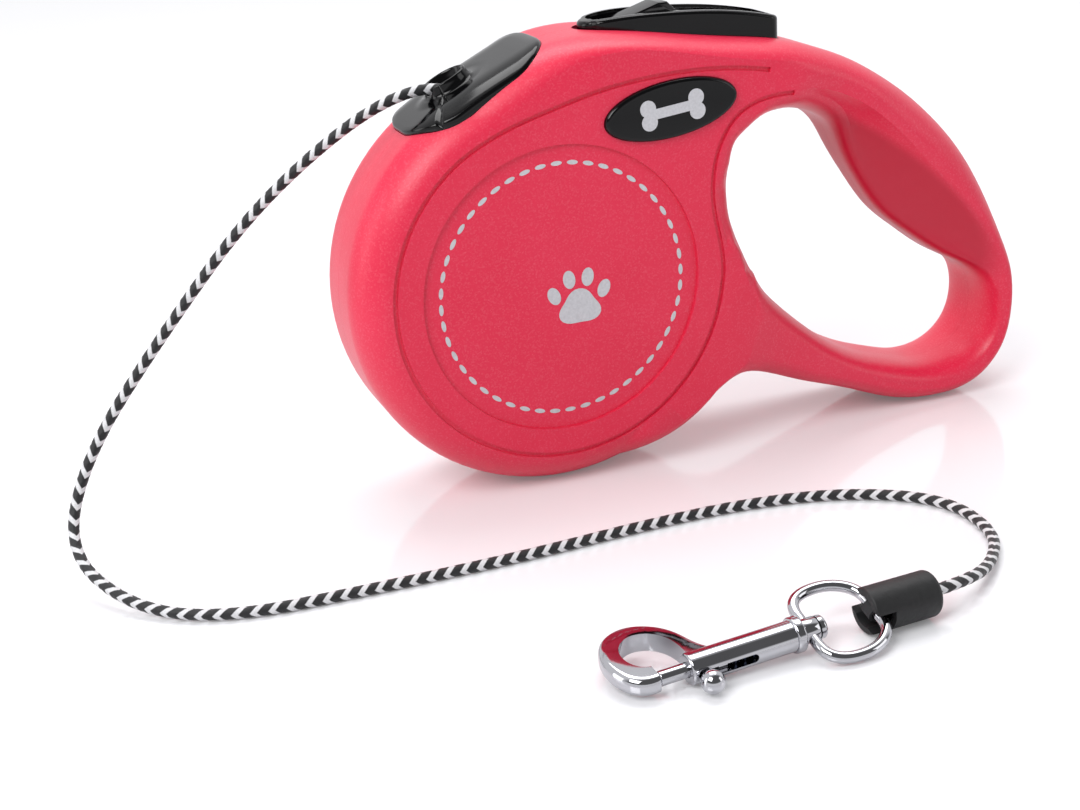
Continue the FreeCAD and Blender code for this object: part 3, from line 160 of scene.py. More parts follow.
def gloss_black(name):
    """Polished black ABS: nearly black, with a sharp highlight and a little dust haze."""
    material, tree = new_material(name)
    place = add_node(tree, "ShaderNodeTexCoord").outputs["Object"]
    haze = add_node(tree, "ShaderNodeTexNoise", {"Vector": place, "Scale": 220.0, "Detail": 4.0})
    rough = add_node(tree, "ShaderNodeMapRange", {"Value": haze.outputs[0], "To Min": 0.07, "To Max": 0.15})
    tone = two_tone(tree, haze.outputs[0], "#030304", "#070708")
    shader = add_node(tree, "ShaderNodeBsdfPrincipled", {
        "Base Color": tone, "Roughness": rough.outputs[0], "Specular IOR Level": 0.32})
    finish_material(tree, shader)
    return material


def polished_chrome(name):
    """Nickel-chrome plate on a zinc casting: mirror bright, slightly wavy."""
    material, tree = new_material(name)
    place = add_node(tree, "ShaderNodeTexCoord").outputs["Object"]
    wave = add_node(tree, "ShaderNodeTexNoise", {"Vector": place, "Scale": 140.0, "Detail": 1.0})
    bump = add_node(tree, "ShaderNodeBump", {"Height": wave.outputs[0], "Strength": 0.12, "Distance": 0.0003})
    rough = add_node(tree, "ShaderNodeMapRange", {"Value": wave.outputs[0], "To Min": 0.03, "To Max": 0.08})
    tone = two_tone(tree, wave.outputs[0], "#B4B4B8", "#C6C6CB")
    shader = add_node(tree, "ShaderNodeBsdfPrincipled", {
        "Base Color": tone, "Metallic": 1.0, "Roughness": rough.outputs[0], "Normal": bump.outputs[0]})
    finish_material(tree, shader)
    return material


def plain_metal(name, dark, pale, roughness, scale):
    """Drawn or stamped steel with fine streaks."""
    material, tree = new_material(name)
    place = add_node(tree, "ShaderNodeTexCoord").outputs["Object"]
    streak = add_node(tree, "ShaderNodeTexNoise", {"Vector": place, "Scale": scale, "Detail": 5.0})
    rough = add_node(tree, "ShaderNodeMapRange", {
        "Value": streak.outputs[0], "To Min": roughness - 0.08, "To Max": roughness + 0.1})
    shader = add_node(tree, "ShaderNodeBsdfPrincipled", {
        "Base Color": two_tone(tree, streak.outputs[0], dark, pale), "Metallic": 1.0,
        "Roughness": rough.outputs[0]})
    finish_material(tree, shader)
    return material


def matt_moulding(name, dark, pale, roughness, grit_scale, depth):
    """Moulded rubber or plastic with a fine matt grain."""
    material, tree = new_material(name)
    place = add_node(tree, "ShaderNodeTexCoord").outputs["Object"]
    grit = add_node(tree, "ShaderNodeTexNoise", {"Vector": place, "Scale": grit_scale, "Detail": 4.0})
    bump = add_node(tree, "ShaderNodeBump", {"Height": grit.outputs[0], "Strength": 0.4, "Distance": depth})
    shader = add_node(tree, "ShaderNodeBsdfPrincipled", {
        "Base Color": two_tone(tree, grit.outputs[0], dark, pale), "Roughness": roughness,
        "Normal": bump.outputs[0]})
    finish_material(tree, shader)
    return material


BRAID_FOLDS, BRAID_SLANT, BRAID_PITCH = 4.0, 1.5, 3.0     # folds round the cord, their rise and their repeat


def braided_cord(name):
    """Braided polyester, black with pale chevrons: u runs along the cord in millimetres, v round it."""
    material, tree = new_material(name)
    uv = add_node(tree, "ShaderNodeUVMap", uv_map="braid").outputs[0]
    split = add_node(tree, "ShaderNodeSeparateXYZ", {0: uv})
    folded = add_node(tree, "ShaderNodeMath", {0: split.outputs[1], 1: BRAID_FOLDS}, operation="MULTIPLY")
    zigzag = add_node(tree, "ShaderNodeMath", {0: folded.outputs[0], 1: 1.0}, operation="PINGPONG")
    slant = add_node(tree, "ShaderNodeMath", {0: zigzag.outputs[0], 1: BRAID_SLANT}, operation="MULTIPLY")
    along = add_node(tree, "ShaderNodeMath", {0: split.outputs[0], 1: slant.outputs[0]}, operation="ADD")
    pitch = add_node(tree, "ShaderNodeMath", {0: along.outputs[0], 1: BRAID_PITCH}, operation="DIVIDE")
    phase = add_node(tree, "ShaderNodeMath", {0: pitch.outputs[0]}, operation="FRACT")
    band = add_node(tree, "ShaderNodeMapRange", {"Value": phase.outputs[0], "From Min": 0.56, "From Max": 0.62})
    edge = add_node(tree, "ShaderNodeMapRange", {
        "Value": phase.outputs[0], "From Min": 0.94, "From Max": 1.0, "To Min": 1.0, "To Max": 0.0})
    pale = add_node(tree, "ShaderNodeMath", {0: band.outputs[0], 1: edge.outputs[0]}, operation="MULTIPLY")
    yarn = add_node(tree, "ShaderNodeTexNoise", {"Vector": uv, "Scale": 9.0, "Detail": 3.0})
    dark = two_tone(tree, yarn.outputs[0], "#0C0C0E", "#232326")
    light = two_tone(tree, yarn.outputs[0], "#B9B9BC", "#EDEDEF")
    mixed = add_node(tree, "ShaderNodeMix", {0: pale.outputs[0], 6: dark, 7: light}, data_type="RGBA")
    shader = add_node(tree, "ShaderNodeBsdfPrincipled", {
        "Base Color": mixed.outputs[2], "Roughness": 0.62, "Sheen Weight": 0.25, "Sheen Roughness": 0.4})
    finish_material(tree, shader)
    return material


def silver_ink(name):
    """Hot-foil silver print: fine metallic grain."""
    material, tree = new_material(name)
    place = add_node(tree, "ShaderNodeTexCoord").outputs["Object"]
    grain = add_node(tree, "ShaderNodeTexNoise", {"Vector": place, "Scale": 2200.0, "Detail": 2.0})
    shader = add_node(tree, "ShaderNodeBsdfPrincipled", {
        "Base Color": two_tone(tree, grain.outputs[0], "#BDBDC1", "#DEDEE2"), "Metallic": 0.55,
        "Roughness": 0.36})
    finish_material(tree, shader)
    return material


FLOOR_LIFT = 0.12                   # a little light of its own, seen by the camera only


def lacquered_floor(name):
    """White lacquered board: bright, with a soft mirror image of what stands on it."""
    material, tree = new_material(name)
    place = add_node(tree, "ShaderNodeTexCoord").outputs["Object"]
    faint = add_node(tree, "ShaderNodeTexNoise", {"Vector": place, "Scale": 6.0, "Detail": 1.0})
    tone = two_tone(tree, faint.outputs[0], "#E6E6E9", "#EAEAED")
    board = add_node(tree, "ShaderNodeBsdfPrincipled", {
        "Base Color": tone, "Roughness": 0.10, "IOR": 1.5, "Specular IOR Level": 0.80})
    rays = add_node(tree, "ShaderNodeLightPath")
    lift = add_node(tree, "ShaderNodeMath", {
        0: rays.outputs["Is Camera Ray"], 1: FLOOR_LIFT}, operation="MULTIPLY")
    glow = add_node(tree, "ShaderNodeEmission", {"Color": colour("#FFFFFF"), "Strength": lift.outputs[0]})
    finish_material(tree, add_node(tree, "ShaderNodeAddShader", {0: board.outputs[0], 1: glow.outputs[0]}))
    return material


# ------------------------------------------------------------------ building pieces
SLOT_OF = {row["node"]: row["material_slot"] for row in frame["record"]["subparts"]}
BODY_OF = {node: body for body, nodes in frame["record"]["behaviour"]["bodies"].items() for node in nodes}


def mesh_object(name, mesh, material, body):
    """A mesh as a visible piece that rides on a body."""
    piece = bpy.data.objects.new(name, mesh)
    bpy.context.scene.collection.objects.link(piece)
    mesh.materials.clear()
    mesh.materials.append(material)
    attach(piece, body)
    return piece


def mesh_from(work, name):
    """The work mesh as a mesh of its own; the work mesh is let go."""
    mesh = bpy.data.meshes.new(name)
    work.to_mesh(mesh)
    work.free()
    return mesh


def bridge(work, first, second, smooth=False):
    """Joins two closed rings of vertices with four-sided faces."""
    made = []
    for i in range(len(first)):
        n = (i + 1) % len(first)
        made.append(work.faces.new((first[i], first[n], second[n], second[i])))
        made[-1].smooth = smooth
    return made


def shade(work, crease):
    """Smooth shading up to a crease angle, in degrees."""
    for face in work.faces:
        face.smooth = True
    for edge in work.edges:
        edge.smooth = edge.calc_face_angle(0.0) < math.radians(crease)


def copy_of(node):
    """A work mesh of a CAD node with its doubles merged."""
    work = bmesh.new()
    work.from_mesh(frame["nodes"][node].data)
    bmesh.ops.remove_doubles(work, verts=work.verts, dist=SAME_SPOT)
    return work


def stand_in(work, node, name, material):
    """Makes the work mesh the visible piece for a CAD node."""
    piece = mesh_object(name, mesh_from(work, name), material, BODY_OF[node])
    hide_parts(node)
    return piece


def smoothed(node, name, material, crease=32.0):
    """A copy of a CAD node, shaded smooth."""
    work = copy_of(node)
    shade(work, crease)
    return stand_in(work, node, name, material)


# ------------------------------------------------------------------ casing
HALF_THICKNESS, EDGE_ROUNDING = 13.5, 5.0
FAIR_LOW, FAIR_HIGH, FAIR_RIGHT = 30.0, 57.0, 13.0      # where the opening's left edge is drawn fair
ARM_TOP = 35.0                                          # below this the arm begins; only its inside is drawn
FAIR_LEAN, FAIR_NEAR, FAIR_NEAR_ARM = 4.9, 1.1, 0.6     # depth into the rounding, and the farthest a spot moves
FADE_LOW, FADE_HIGH, FADE_LEAN = 2.0, 4.0, 1.6          # the fairing fades out over these lengths
# Height and distance from the reel's axis of the hand opening's left edge.
OPENING_EDGE = [(29.5, 43.4), (30.5, 42.6), (31.5, 41.85), (32.5, 41.15), (33.5, 40.5), (34.5, 39.95),
                (35.5, 39.4), (36.5, 38.9), (38.6, 38.0), (42.5, 36.4), (46.5, 35.2), (51.0, 34.75),
                (54.5, 34.85), (58.0, 35.3), (61.0, 36.6)]
NOSE_START, NOSE_NARROWER, NOSE_SHORTER = -18.0, 0.09, 0.3      # the button's nose: a share, a length
CREASE_ASIDE, CREASE_FOLD, CREASE_NEAR = 3.0, math.radians(12), 1.0     # off the middle plane, fold, distance
# The crease between the palm and the fingers' side, seen from the side, in the frame.
PALM_CREASE = [(19.3, 69.0), (25.3, 67.3), (32.0, 63.7), (38.7, 59.0), (45.3, 52.7), (52.0, 45.0), (58.7, 37.0),
               (62.7, 31.3), (65.0, 26.5)]


def edge_of_opening(z):
    """Where the rounded edge left of the hand opening stands at a height: a cubic through the marks."""
    spots = OPENING_EDGE
    i = max(k for k in range(len(spots) - 1) if k == 0 or spots[k][0] <= z)
    slopes = []
    for k in (i, i + 1):
        before, after = spots[max(k - 1, 0)], spots[min(k + 1, len(spots) - 1)]
        slopes.append((after[1] - before[1]) / (after[0] - before[0]))
    (z0, x0), (z1, x1) = spots[i], spots[i + 1]
    step = z1 - z0
    t = (z - z0) / step
    return (x0 * (1 + 2 * t) * (1 - t) ** 2 + slopes[0] * step * t * (1 - t) ** 2
            + x1 * t * t * (3 - 2 * t) + slopes[1] * step * t * t * (t - 1))


def fair_edge(work):
    """Draws the small steps between the mouldings left of the hand opening onto one rounded edge."""
    for vert in work.verts:
        x, y, z = vert.co / MM
        if not (FAIR_LOW < z < FAIR_HIGH and 0.0 < x < FAIR_RIGHT):
            continue
        lean = max(0.0, abs(y) - (HALF_THICKNESS - EDGE_ROUNDING))
        if lean > (FAIR_LEAN if z > ARM_TOP else 0.0):
            continue
        target = CASING_X + edge_of_opening(z) - EDGE_ROUNDING + math.sqrt(EDGE_ROUNDING ** 2 - lean ** 2)
        if abs(target - x) < (FAIR_NEAR if z > ARM_TOP else FAIR_NEAR_ARM):
            share = min(1.0, (z - FAIR_LOW) / FADE_LOW, (FAIR_HIGH - z) / FADE_HIGH,
                        (FAIR_LEAN - lean) / FADE_LEAN)
            vert.co.x += (target - x) * share * MM


def crease_distance(x, z):
    """How far a spot in the side view is from the palm's crease, in millimetres."""
    distances = []
    for (x0, z0), (x1, z1) in zip(PALM_CREASE, PALM_CREASE[1:]):
        dx, dz = x1 - x0, z1 - z0
        t = min(max(((x - x0) * dx + (z - z0) * dz) / (dx * dx + dz * dz), 0.0), 1.0)
        distances.append(math.hypot(x - x0 - t * dx, z - z0 - t * dz))
    return min(distances)


def crease_edges(work):
    """The edges of one half that lie along the palm's crease, not across it."""
    chain = []
    for edge in work.edges:
        middle = (edge.verts[0].co + edge.verts[1].co) / 2 / MM
        if abs(middle.y) < CREASE_ASIDE or edge.calc_face_angle(0.0) < CREASE_FOLD:
            continue
        run = edge.verts[1].co - edge.verts[0].co
        if crease_distance(middle.x, middle.z) < CREASE_NEAR and abs(run.y) < 0.6 * run.length:
            chain.append(edge)
    return chain


def casing_half(node, name, material):
    """One half of the casing with a fair opening and a sharp palm crease."""
    work = copy_of(node)
    fair_edge(work)
    chain = crease_edges(work)
    shade(work, 30.0)
    for edge in chain:
        edge.smooth = False
    return stand_in(work, node, name, material)


def slim_nose(button):
    """Leaves the button's nose a little room beside the casing where it comes down on its stop."""
    for vert in button.data.vertices:
        x, y, z = vert.co / MM
        share = min(max(NOSE_START - x, 0.0), 1.0)
        vert.co.y -= y * NOSE_NARROWER * share * MM
        vert.co.x += NOSE_SHORTER * share * MM


# ------------------------------------------------------------------ ring
# The ring lies in the plane of the snap's axis, away from the sleeve, and its own swinging axis.
RING_PIVOT = Vector((-0.0106737, -0.0883534, 0.0040))
RING_AXIS = Vector((0.06534, -0.93439, -0.35021)).normalized()
SNAP_AXIS = Vector((-0.99768, -0.05445, -0.04086)).normalized()
RING_WIRE, RING_DEPTH, RING_HALF, RING_NECK = 0.95, 12.0, 7.3, 2.4
EYE_RADIUS, EYE_HOLE, EYE_LENGTH = 2.0, 1.15, 2.8
WIRE_SIDES, EYE_SIDES = 20, 40


def bezier(p0, p1, p2, p3, steps):
    """Points along a cubic curve, without its first."""
    out = []
    for i in range(1, steps + 1):
        t = i / steps
        w = ((1 - t) ** 3, 3 * (1 - t) ** 2 * t, 3 * (1 - t) * t * t, t ** 3)
        out.append(tuple(sum(k * q[axis] for k, q in zip(w, (p0, p1, p2, p3))) for axis in (0, 1)))
    return out


def loop_of_wire(work, spots, place):
    """A round wire along an open line in the ring's plane, capped at both ends."""
    rings = []
    for i, (x, y) in enumerate(spots):
        before, after = spots[max(i - 1, 0)], spots[min(i + 1, len(spots) - 1)]
        ahead = Vector((after[0] - before[0], after[1] - before[1], 0)).normalized()
        side = Vector((-ahead.y, ahead.x, 0))
        ring = []
        for k in range(WIRE_SIDES):
            t = 2 * math.pi * k / WIRE_SIDES
            ring.append(work.verts.new(place(Vector((x, y, 0)) + RING_WIRE * (
                side * math.cos(t) + Vector((0, 0, 1)) * math.sin(t)))))
        rings.append(ring)
    for first, second in zip(rings, rings[1:]):
        bridge(work, first, second)
    work.faces.new(list(reversed(rings[0])))
    work.faces.new(rings[-1])


def eye_of_ring(work, place):
    """The round eye that the snap's shank turns in."""
    h, e = EYE_LENGTH / 2, 0.3
    profile = [(-h, EYE_HOLE), (-h, EYE_RADIUS - e), (-h + 0.1, EYE_RADIUS - 0.1), (-h + e, EYE_RADIUS),
               (h - e, EYE_RADIUS), (h - 0.1, EYE_RADIUS - 0.1), (h, EYE_RADIUS - e), (h, EYE_HOLE)]
    rows = []
    for k in range(EYE_SIDES):
        t = 2 * math.pi * k / EYE_SIDES
        rows.append([work.verts.new(place(Vector((RING_DEPTH + x, r * math.cos(t), r * math.sin(t)))))
                     for x, r in profile])
    for first, second in zip(rows, rows[1:] + rows[:1]):
        bridge(work, first, second)


def swivel_ring(material):
    """The round-cornered wire ring between the cord's loop and the snap, with its eye."""
    across = SNAP_AXIS.cross(RING_AXIS)

    def place(spot):
        return RING_PIVOT + (SNAP_AXIS * spot.x + RING_AXIS * spot.y + across * spot.z) * MM

    widest = (6.6, RING_HALF)
    half = [(0.0, 0.0), (0.0, 1.3), (0.0, RING_NECK)]
    half += bezier((0.0, RING_NECK), (0.0, 5.1), (3.0, RING_HALF), widest, 18)
    half += bezier(widest, (10.0, RING_HALF), (RING_DEPTH, 6.1), (RING_DEPTH, 3.0), 14) + [(RING_DEPTH, 1.5)]
    spots = [(x, -y) for x, y in reversed(half[1:])] + half
    work = bmesh.new()
    loop_of_wire(work, spots, place)
    eye_of_ring(work, place)
    bmesh.ops.recalc_face_normals(work, faces=work.faces)
    shade(work, 50.0)
    return stand_in(work, "swivel_ring", "seen_swivel_ring", material)


# ------------------------------------------------------------------ cord
# The cord's route: from inside the outlet over the cup's lip, in a bow to the floor and round to the sleeve.
CORD_ROUTE = [(8.5, 0, 66.3), (-6.0, 0, 70.6), (-21.5, 0, 78.2), (-50, 0, 61.4), (-72.5, -0.5, 37.3),
              (-87.5, -2.5, 19.5), (-93.8, -10.5, 6.0), (-86.0, -27.5, 1.35), (-72.0, -38.2, 1.0),
              (-46, -39.2, 1.0), (-20, -39.4, 1.0), (4, -37.8, 1.0), (24, -38.2, 1.0), (41.5, -42.5, 1.0),
              (55.5, -53.0, 1.0), (55.8, -68.5, 1.0), (47.5, -80.0, 1.7), (36.885, -87.181, 4.0),
              (26.910, -87.879, 4.0)]
CORD_RADIUS, CORD_SIDES, CORD_STEP = 1.0 * MM, 20, 0.28 * MM
YARN_LAY, YARN_RELIEF = 3.8 * MM, 0.05 * MM


def cord_line():
    """Points along one smooth NURBS spline through the route."""
    curve = bpy.data.curves.new("cord_line", "CURVE")
    curve.dimensions = "3D"
    spline = curve.splines.new("NURBS")
    spline.points.add(len(CORD_ROUTE) - 1)
    for point, (x, y, z) in zip(spline.points, CORD_ROUTE):
        point.co = ((x + CASING_X) * MM, y * MM, z * MM, 1.0)
    spline.order_u = 3
    spline.use_endpoint_u = True
    spline.resolution_u = 60
    holder = bpy.data.objects.new("cord_line", curve)
    bpy.context.scene.collection.objects.link(holder)
    bpy.context.view_layer.update()
    mesh = bpy.data.meshes.new_from_object(holder.evaluated_get(bpy.context.evaluated_depsgraph_get()))
    points = [v.co.copy() for v in mesh.vertices]
    bpy.data.objects.remove(holder)
    return points


def braid_height(along, around):
    """Relief of the braid in metres: two sets of yarns that cross."""
    lay = 2 * math.pi * along / YARN_LAY
    one = math.cos(4 * around + 2 * lay)
    other = math.cos(4 * around - 2 * lay)
    return YARN_RELIEF * (max(one, other) - 1.0)


def leash_cord(material):
    """The braided cord: rings of vertices along the line, with a map in millimetres along and turns around."""
    points = cord_line()
    lengths = [0.0]
    for a, b in zip(points, points[1:]):
        lengths.append(lengths[-1] + (b - a).length)
    count = int(lengths[-1] / CORD_STEP)
    work = bmesh.new()
    layer = work.loops.layers.uv.new("braid")
    side = Vector((0, 1, 0))
    rings = []
    at = 0
    for i in range(count + 1):
        s = lengths[-1] * i / count
        while at < len(points) - 2 and lengths[at + 1] < s:
            at += 1
        share = (s - lengths[at]) / (lengths[at + 1] - lengths[at])
        middle = points[at].lerp(points[at + 1], share)
        before = points[max(at - 1, 0)]
        after = points[min(at + 2, len(points) - 1)]
        forward = (after - before).normalized()
        side = (side - forward * side.dot(forward)).normalized()
        other = forward.cross(side)
        ring = []
        for k in range(CORD_SIDES):
            angle = 2 * math.pi * k / CORD_SIDES
            radius = CORD_RADIUS + braid_height(s, angle)
            ring.append(work.verts.new(middle + (side * math.cos(angle) + other * math.sin(angle)) * radius))
        rings.append((s, ring))
    for (s0, ring0), (s1, ring1) in zip(rings, rings[1:]):
        for k, face in enumerate(bridge(work, ring0, ring1, smooth=True)):
            corners = ((s0, k), (s0, k + 1), (s1, k + 1), (s1, k))
            for loop, (s, turn) in zip(face.loops, corners):
                loop[layer].uv = (s / MM, turn / CORD_SIDES)
    work.faces.new(list(reversed(rings[0][1])))
    work.faces.new(rings[-1][1])
    bmesh.ops.recalc_face_normals(work, faces=work.faces)
    return stand_in(work, "leash_cord", "braided_cord", material), points


# ------------------------------------------------------------------ cord outlet
# Points on the rim under the outlet from the reel's axis in x, with the height and the edge's rounding there.
RIM_MARKS = [(-27.838, 65.583, 7.1), (-23.932, 69.112, 7.1), (-20.565, 71.484, 7.1), (-17.415, 73.226, 7.0),
             (-11.997, 76.014, 6.2), (-5.031, 79.294, 5.8), (1.161, 82.0, 5.4), (7.353, 82.82, 4.7)]
OUTLET_HALF_LENGTH, OUTLET_HALF_WIDTH, OUTLET_CORNER = 14.9, 11.0, 9.0
OUTLET_PROUD, OUTLET_DEPTH = 0.8, 1.4
OUTLET_TURNS = 144                  # vertices round each ring of the plate and the cup
FLAT_HALF, EDGE_WIDTH = 5.5, 8.0    # the rim is flat this far from its middle, and then rounds off this wide
CUP_LONG, CUP_WIDE = 4.5, 3.2
CUP_FOOT = 1.25                     # the cup's foot, as a share of its oval
MOUTH_RADIUS, MOUTH_ANGLE, CUP_ANGLE = 39.5, math.radians(112.1), math.radians(114.5)
CORD_SIDE, CORD_GAP, CORD_DIP = math.radians(184), 0.62, 0.85     # where the cup's lip is low for the cord
SLIT_ANGLE, SLIT_DEPTH, SLIT_LIP = math.radians(238), 0.9, 0.1    # the slit that the cord is laid in by
RIM_STEPS = 24                      # steps between two marks on the rim's smooth part


def rim_line():
    """The rim under the outlet: points, outward normals and roundings, on a smooth curve through the marks."""
    marks = [Vector(mark) for mark in RIM_MARKS]
    smooth = []
    for i in range(1, len(marks) - 2):
        before, here, after, beyond = marks[i - 1:i + 3]
        for k in range(RIM_STEPS):
            t = k / RIM_STEPS
            bend = 2 * before - 5 * here + 4 * after - beyond
            twist = 3 * here - before - 3 * after + beyond
            smooth.append(0.5 * (2 * here + (after - before) * t + bend * t ** 2 + twist * t ** 3))
    ends = [marks[0] + (marks[1] - marks[0]) * k / 12 for k in range(12)]
    tail = [marks[-2] + (marks[-1] - marks[-2]) * k / 12 for k in range(13)]
    line = ends + smooth + tail
    normals = []
    for i in range(len(line)):
        run = line[min(i + 1, len(line) - 1)] - line[max(i - 1, 0)]
        normals.append(Vector((-run.y, run.x)).normalized())
    return line, normals


def outlet_plate(name, material):
    """The plate that hugs the rim, with its oval cup: one skin of rings round the cord's mouth."""
    line, normals = rim_line()
    first, last = Vector(RIM_MARKS[1][:2]), Vector(RIM_MARKS[-2][:2])      # the rim's ends under the plate
    along = (last - first).normalized()
    centre = (first + last) / 2

    def on_rim(a, b, offset):
        """The spot at a along the plate and b across it, an offset above the rim."""
        wide = EDGE_WIDTH + offset
        lean = min(max(abs(b) - FLAT_HALF, 0.0), wide) / wide
        was = None
        for here, normal in zip(line, normals):
            drop = (here.z + offset) * (1 - math.sqrt(1 - lean * lean))
            spot = here.xy + normal * (offset - drop)
            reach = (spot - centre).dot(along)
            if was and reach >= a:
                share = (a - was[0]) / (reach - was[0])
                spot = was[1].lerp(spot, share)
                return Vector((spot.x, b, spot.y))
            was = (reach, spot)
        return Vector((was[1].x, b, was[1].y))

    mouth = Vector((MOUTH_RADIUS * math.cos(MOUTH_ANGLE), REEL_Z + MOUTH_RADIUS * math.sin(MOUTH_ANGLE)))
    middle = (mouth - centre).dot(along)
    up = Vector((math.cos(CUP_ANGLE), 0, math.sin(CUP_ANGLE)))
    level = Vector((up.z, 0, -up.x))
    turns = [2 * math.pi * i / OUTLET_TURNS for i in range(OUTLET_TURNS)]
    split = min(range(OUTLET_TURNS), key=lambda i: abs(turns[i] - SLIT_ANGLE))

    def edge(turn):
        """How far the plate reaches from the mouth in a direction of its plan, found by halving."""
        dx, dy = math.cos(turn), math.sin(turn)
        near, far = 0.0, 40.0
        for _ in range(30):
            r = (near + far) / 2
            x = abs(middle + r * dx) - (OUTLET_HALF_LENGTH - OUTLET_CORNER)
            y = abs(r * dy) - (OUTLET_HALF_WIDTH - OUTLET_CORNER)
            inside = math.hypot(max(x, 0), max(y, 0)) + min(max(x, y), 0) < OUTLET_CORNER
            near, far = (r, far) if inside else (near, r)
        return near

    reaches = [edge(turn) for turn in turns]

    def oval_reach(turn, share):
        """How far the cup's oval, scaled by a share, reaches in a direction."""
        return share / math.hypot(math.cos(turn) / CUP_LONG, math.sin(turn) / CUP_WIDE)

    def plate_ring(q, offset, share=CUP_FOOT):
        """A ring a share q of the way from the cup's foot to the plate's edge."""
        ring = []
        for i, turn in enumerate(turns):
            inner = oval_reach(turn, share)
            r = inner + (reaches[i] - inner) * q
            cut = SLIT_DEPTH if i == split and offset > 0 else 0.0
            ring.append(on_rim(middle + r * math.cos(turn), r * math.sin(turn), offset - cut))
        return ring

    foot = on_rim(middle, 0.0, OUTLET_PROUD)

    def cup_ring(share, height):
        """A ring of the cup at a height over its foot."""
        ring = []
        for i, turn in enumerate(turns):
            aside = abs((turn - CORD_SIDE + math.pi) % (2 * math.pi) - math.pi)
            low = 1 - CORD_DIP * max(0.0, 1 - (aside / CORD_GAP) ** 2) if height > 0 else 1.0
            if i == split and height > 0:
                low = SLIT_LIP
            r = oval_reach(turn, share)
            across = Vector((0, r * math.sin(turn), 0))
            ring.append(foot + level * (r * math.cos(turn)) + across + up * (height * low))
        return ring

    rings = [plate_ring(q, offset) for q, offset in (
        (1.0, -OUTLET_DEPTH), (1.0, 0.25), (0.993, 0.52), (0.975, 0.71))]
    rings += [plate_ring(q, OUTLET_PROUD) for q in (0.945, 0.8, 0.6, 0.42, 0.26, 0.12)]
    rings += [cup_ring(share, height) for share, height in (
        (1.22, 0.02), (1.10, 0.22), (1.03, 0.7), (0.99, 1.4), (0.97, 1.9), (0.94, 2.08), (0.89, 2.14),
        (0.84, 2.05), (0.80, 1.8), (0.74, 1.2), (0.66, 0.5), (0.56, -0.2), (0.47, -1.0), (0.43, -1.9))]
    rings += [plate_ring(q, -OUTLET_DEPTH, 0.5) for q in (0.05, 0.35, 0.7)]
    work = bmesh.new()
    loops = [[work.verts.new((spot + Vector((CASING_X, 0, 0))) * MM) for spot in ring] for ring in rings]
    for ring, inner in zip(loops, loops[1:] + loops[:1]):
        bridge(work, ring, inner, smooth=True)
    bmesh.ops.recalc_face_normals(work, faces=work.faces)
    return stand_in(work, "cord_outlet", name, material)


# ------------------------------------------------------------------ print on the face and the badge
FACE_DEPTH, BADGE_DEPTH, INK = 12.9, 14.4, 0.06     # planes of the panel and the badge, and the print's height
DASH_RADIUS, DASH_COUNT, DASH_LENGTH, DASH_WIDTH, DASH_INK = 23.4, 48, 2.1, 0.85, 0.07


def flat_print(name, outlines, material, depth):
    """Closed outlines in the face's plane, in millimetres from the reel's axis, a little proud of the panel."""
    work = bmesh.new()
    for outline in outlines:
        front = [work.verts.new(((x + CASING_X) * MM, -(depth + INK) * MM, (z + REEL_Z) * MM))
                 for x, z in outline]
        back = [work.verts.new(v.co + Vector((0, INK * MM, 0))) for v in front]
        work.faces.new(front)
        work.faces.new(list(reversed(back)))
        bridge(work, front, back)
    bmesh.ops.recalc_face_normals(work, faces=work.faces)
    return mesh_object(name, mesh_from(work, name), material, "housing")


def turned(outline, x, z, tilt):
    """An outline tilted by an angle in degrees, with its middle moved to x, z."""
    a = math.radians(tilt)
    return [(x + u * math.cos(a) - v * math.sin(a), z + u * math.sin(a) + v * math.cos(a)) for u, v in outline]


def oval(x, z, long_radius, short_radius, tilt, count=28):
    around = [2 * math.pi * i / count for i in range(count)]
    return turned([(long_radius * math.cos(t), short_radius * math.sin(t)) for t in around], x, z, tilt)


def paw_print(x, z, size):
    """A plain paw: one pad and four toes."""
    pad = []
    for i in range(36):
        t = 2 * math.pi * i / 36
        radius = size * (0.50 + 0.07 * math.cos(3 * (t - math.pi / 2)))
        pad.append((x + radius * 1.12 * math.cos(t), z + radius * 0.92 * math.sin(t)))
    toes = [oval(x + size * dx, z + size * dz, size * 0.25, size * 0.17, 90 + tilt)
            for dx, dz, tilt in ((-0.70, 0.42, 24), (-0.26, 0.80, 8), (0.26, 0.80, -8), (0.70, 0.42, -24))]
    return [pad] + toes


def bone(x, z, length, knob, tilt):
    """A plain bone of four round knobs and a shaft."""
    half, right = length / 2 - knob, []
    for side, first, last in ((-1, 168.5, 413.1), (1, -53.1, 191.5)):
        for i in range(17):
            t = math.radians(first + (last - first) * i / 16)
            right.append((half + knob * math.cos(t), knob * (0.8 * side + math.sin(t))))
    return [turned(right + [(-u, -v) for u, v in right], x, z, tilt)]


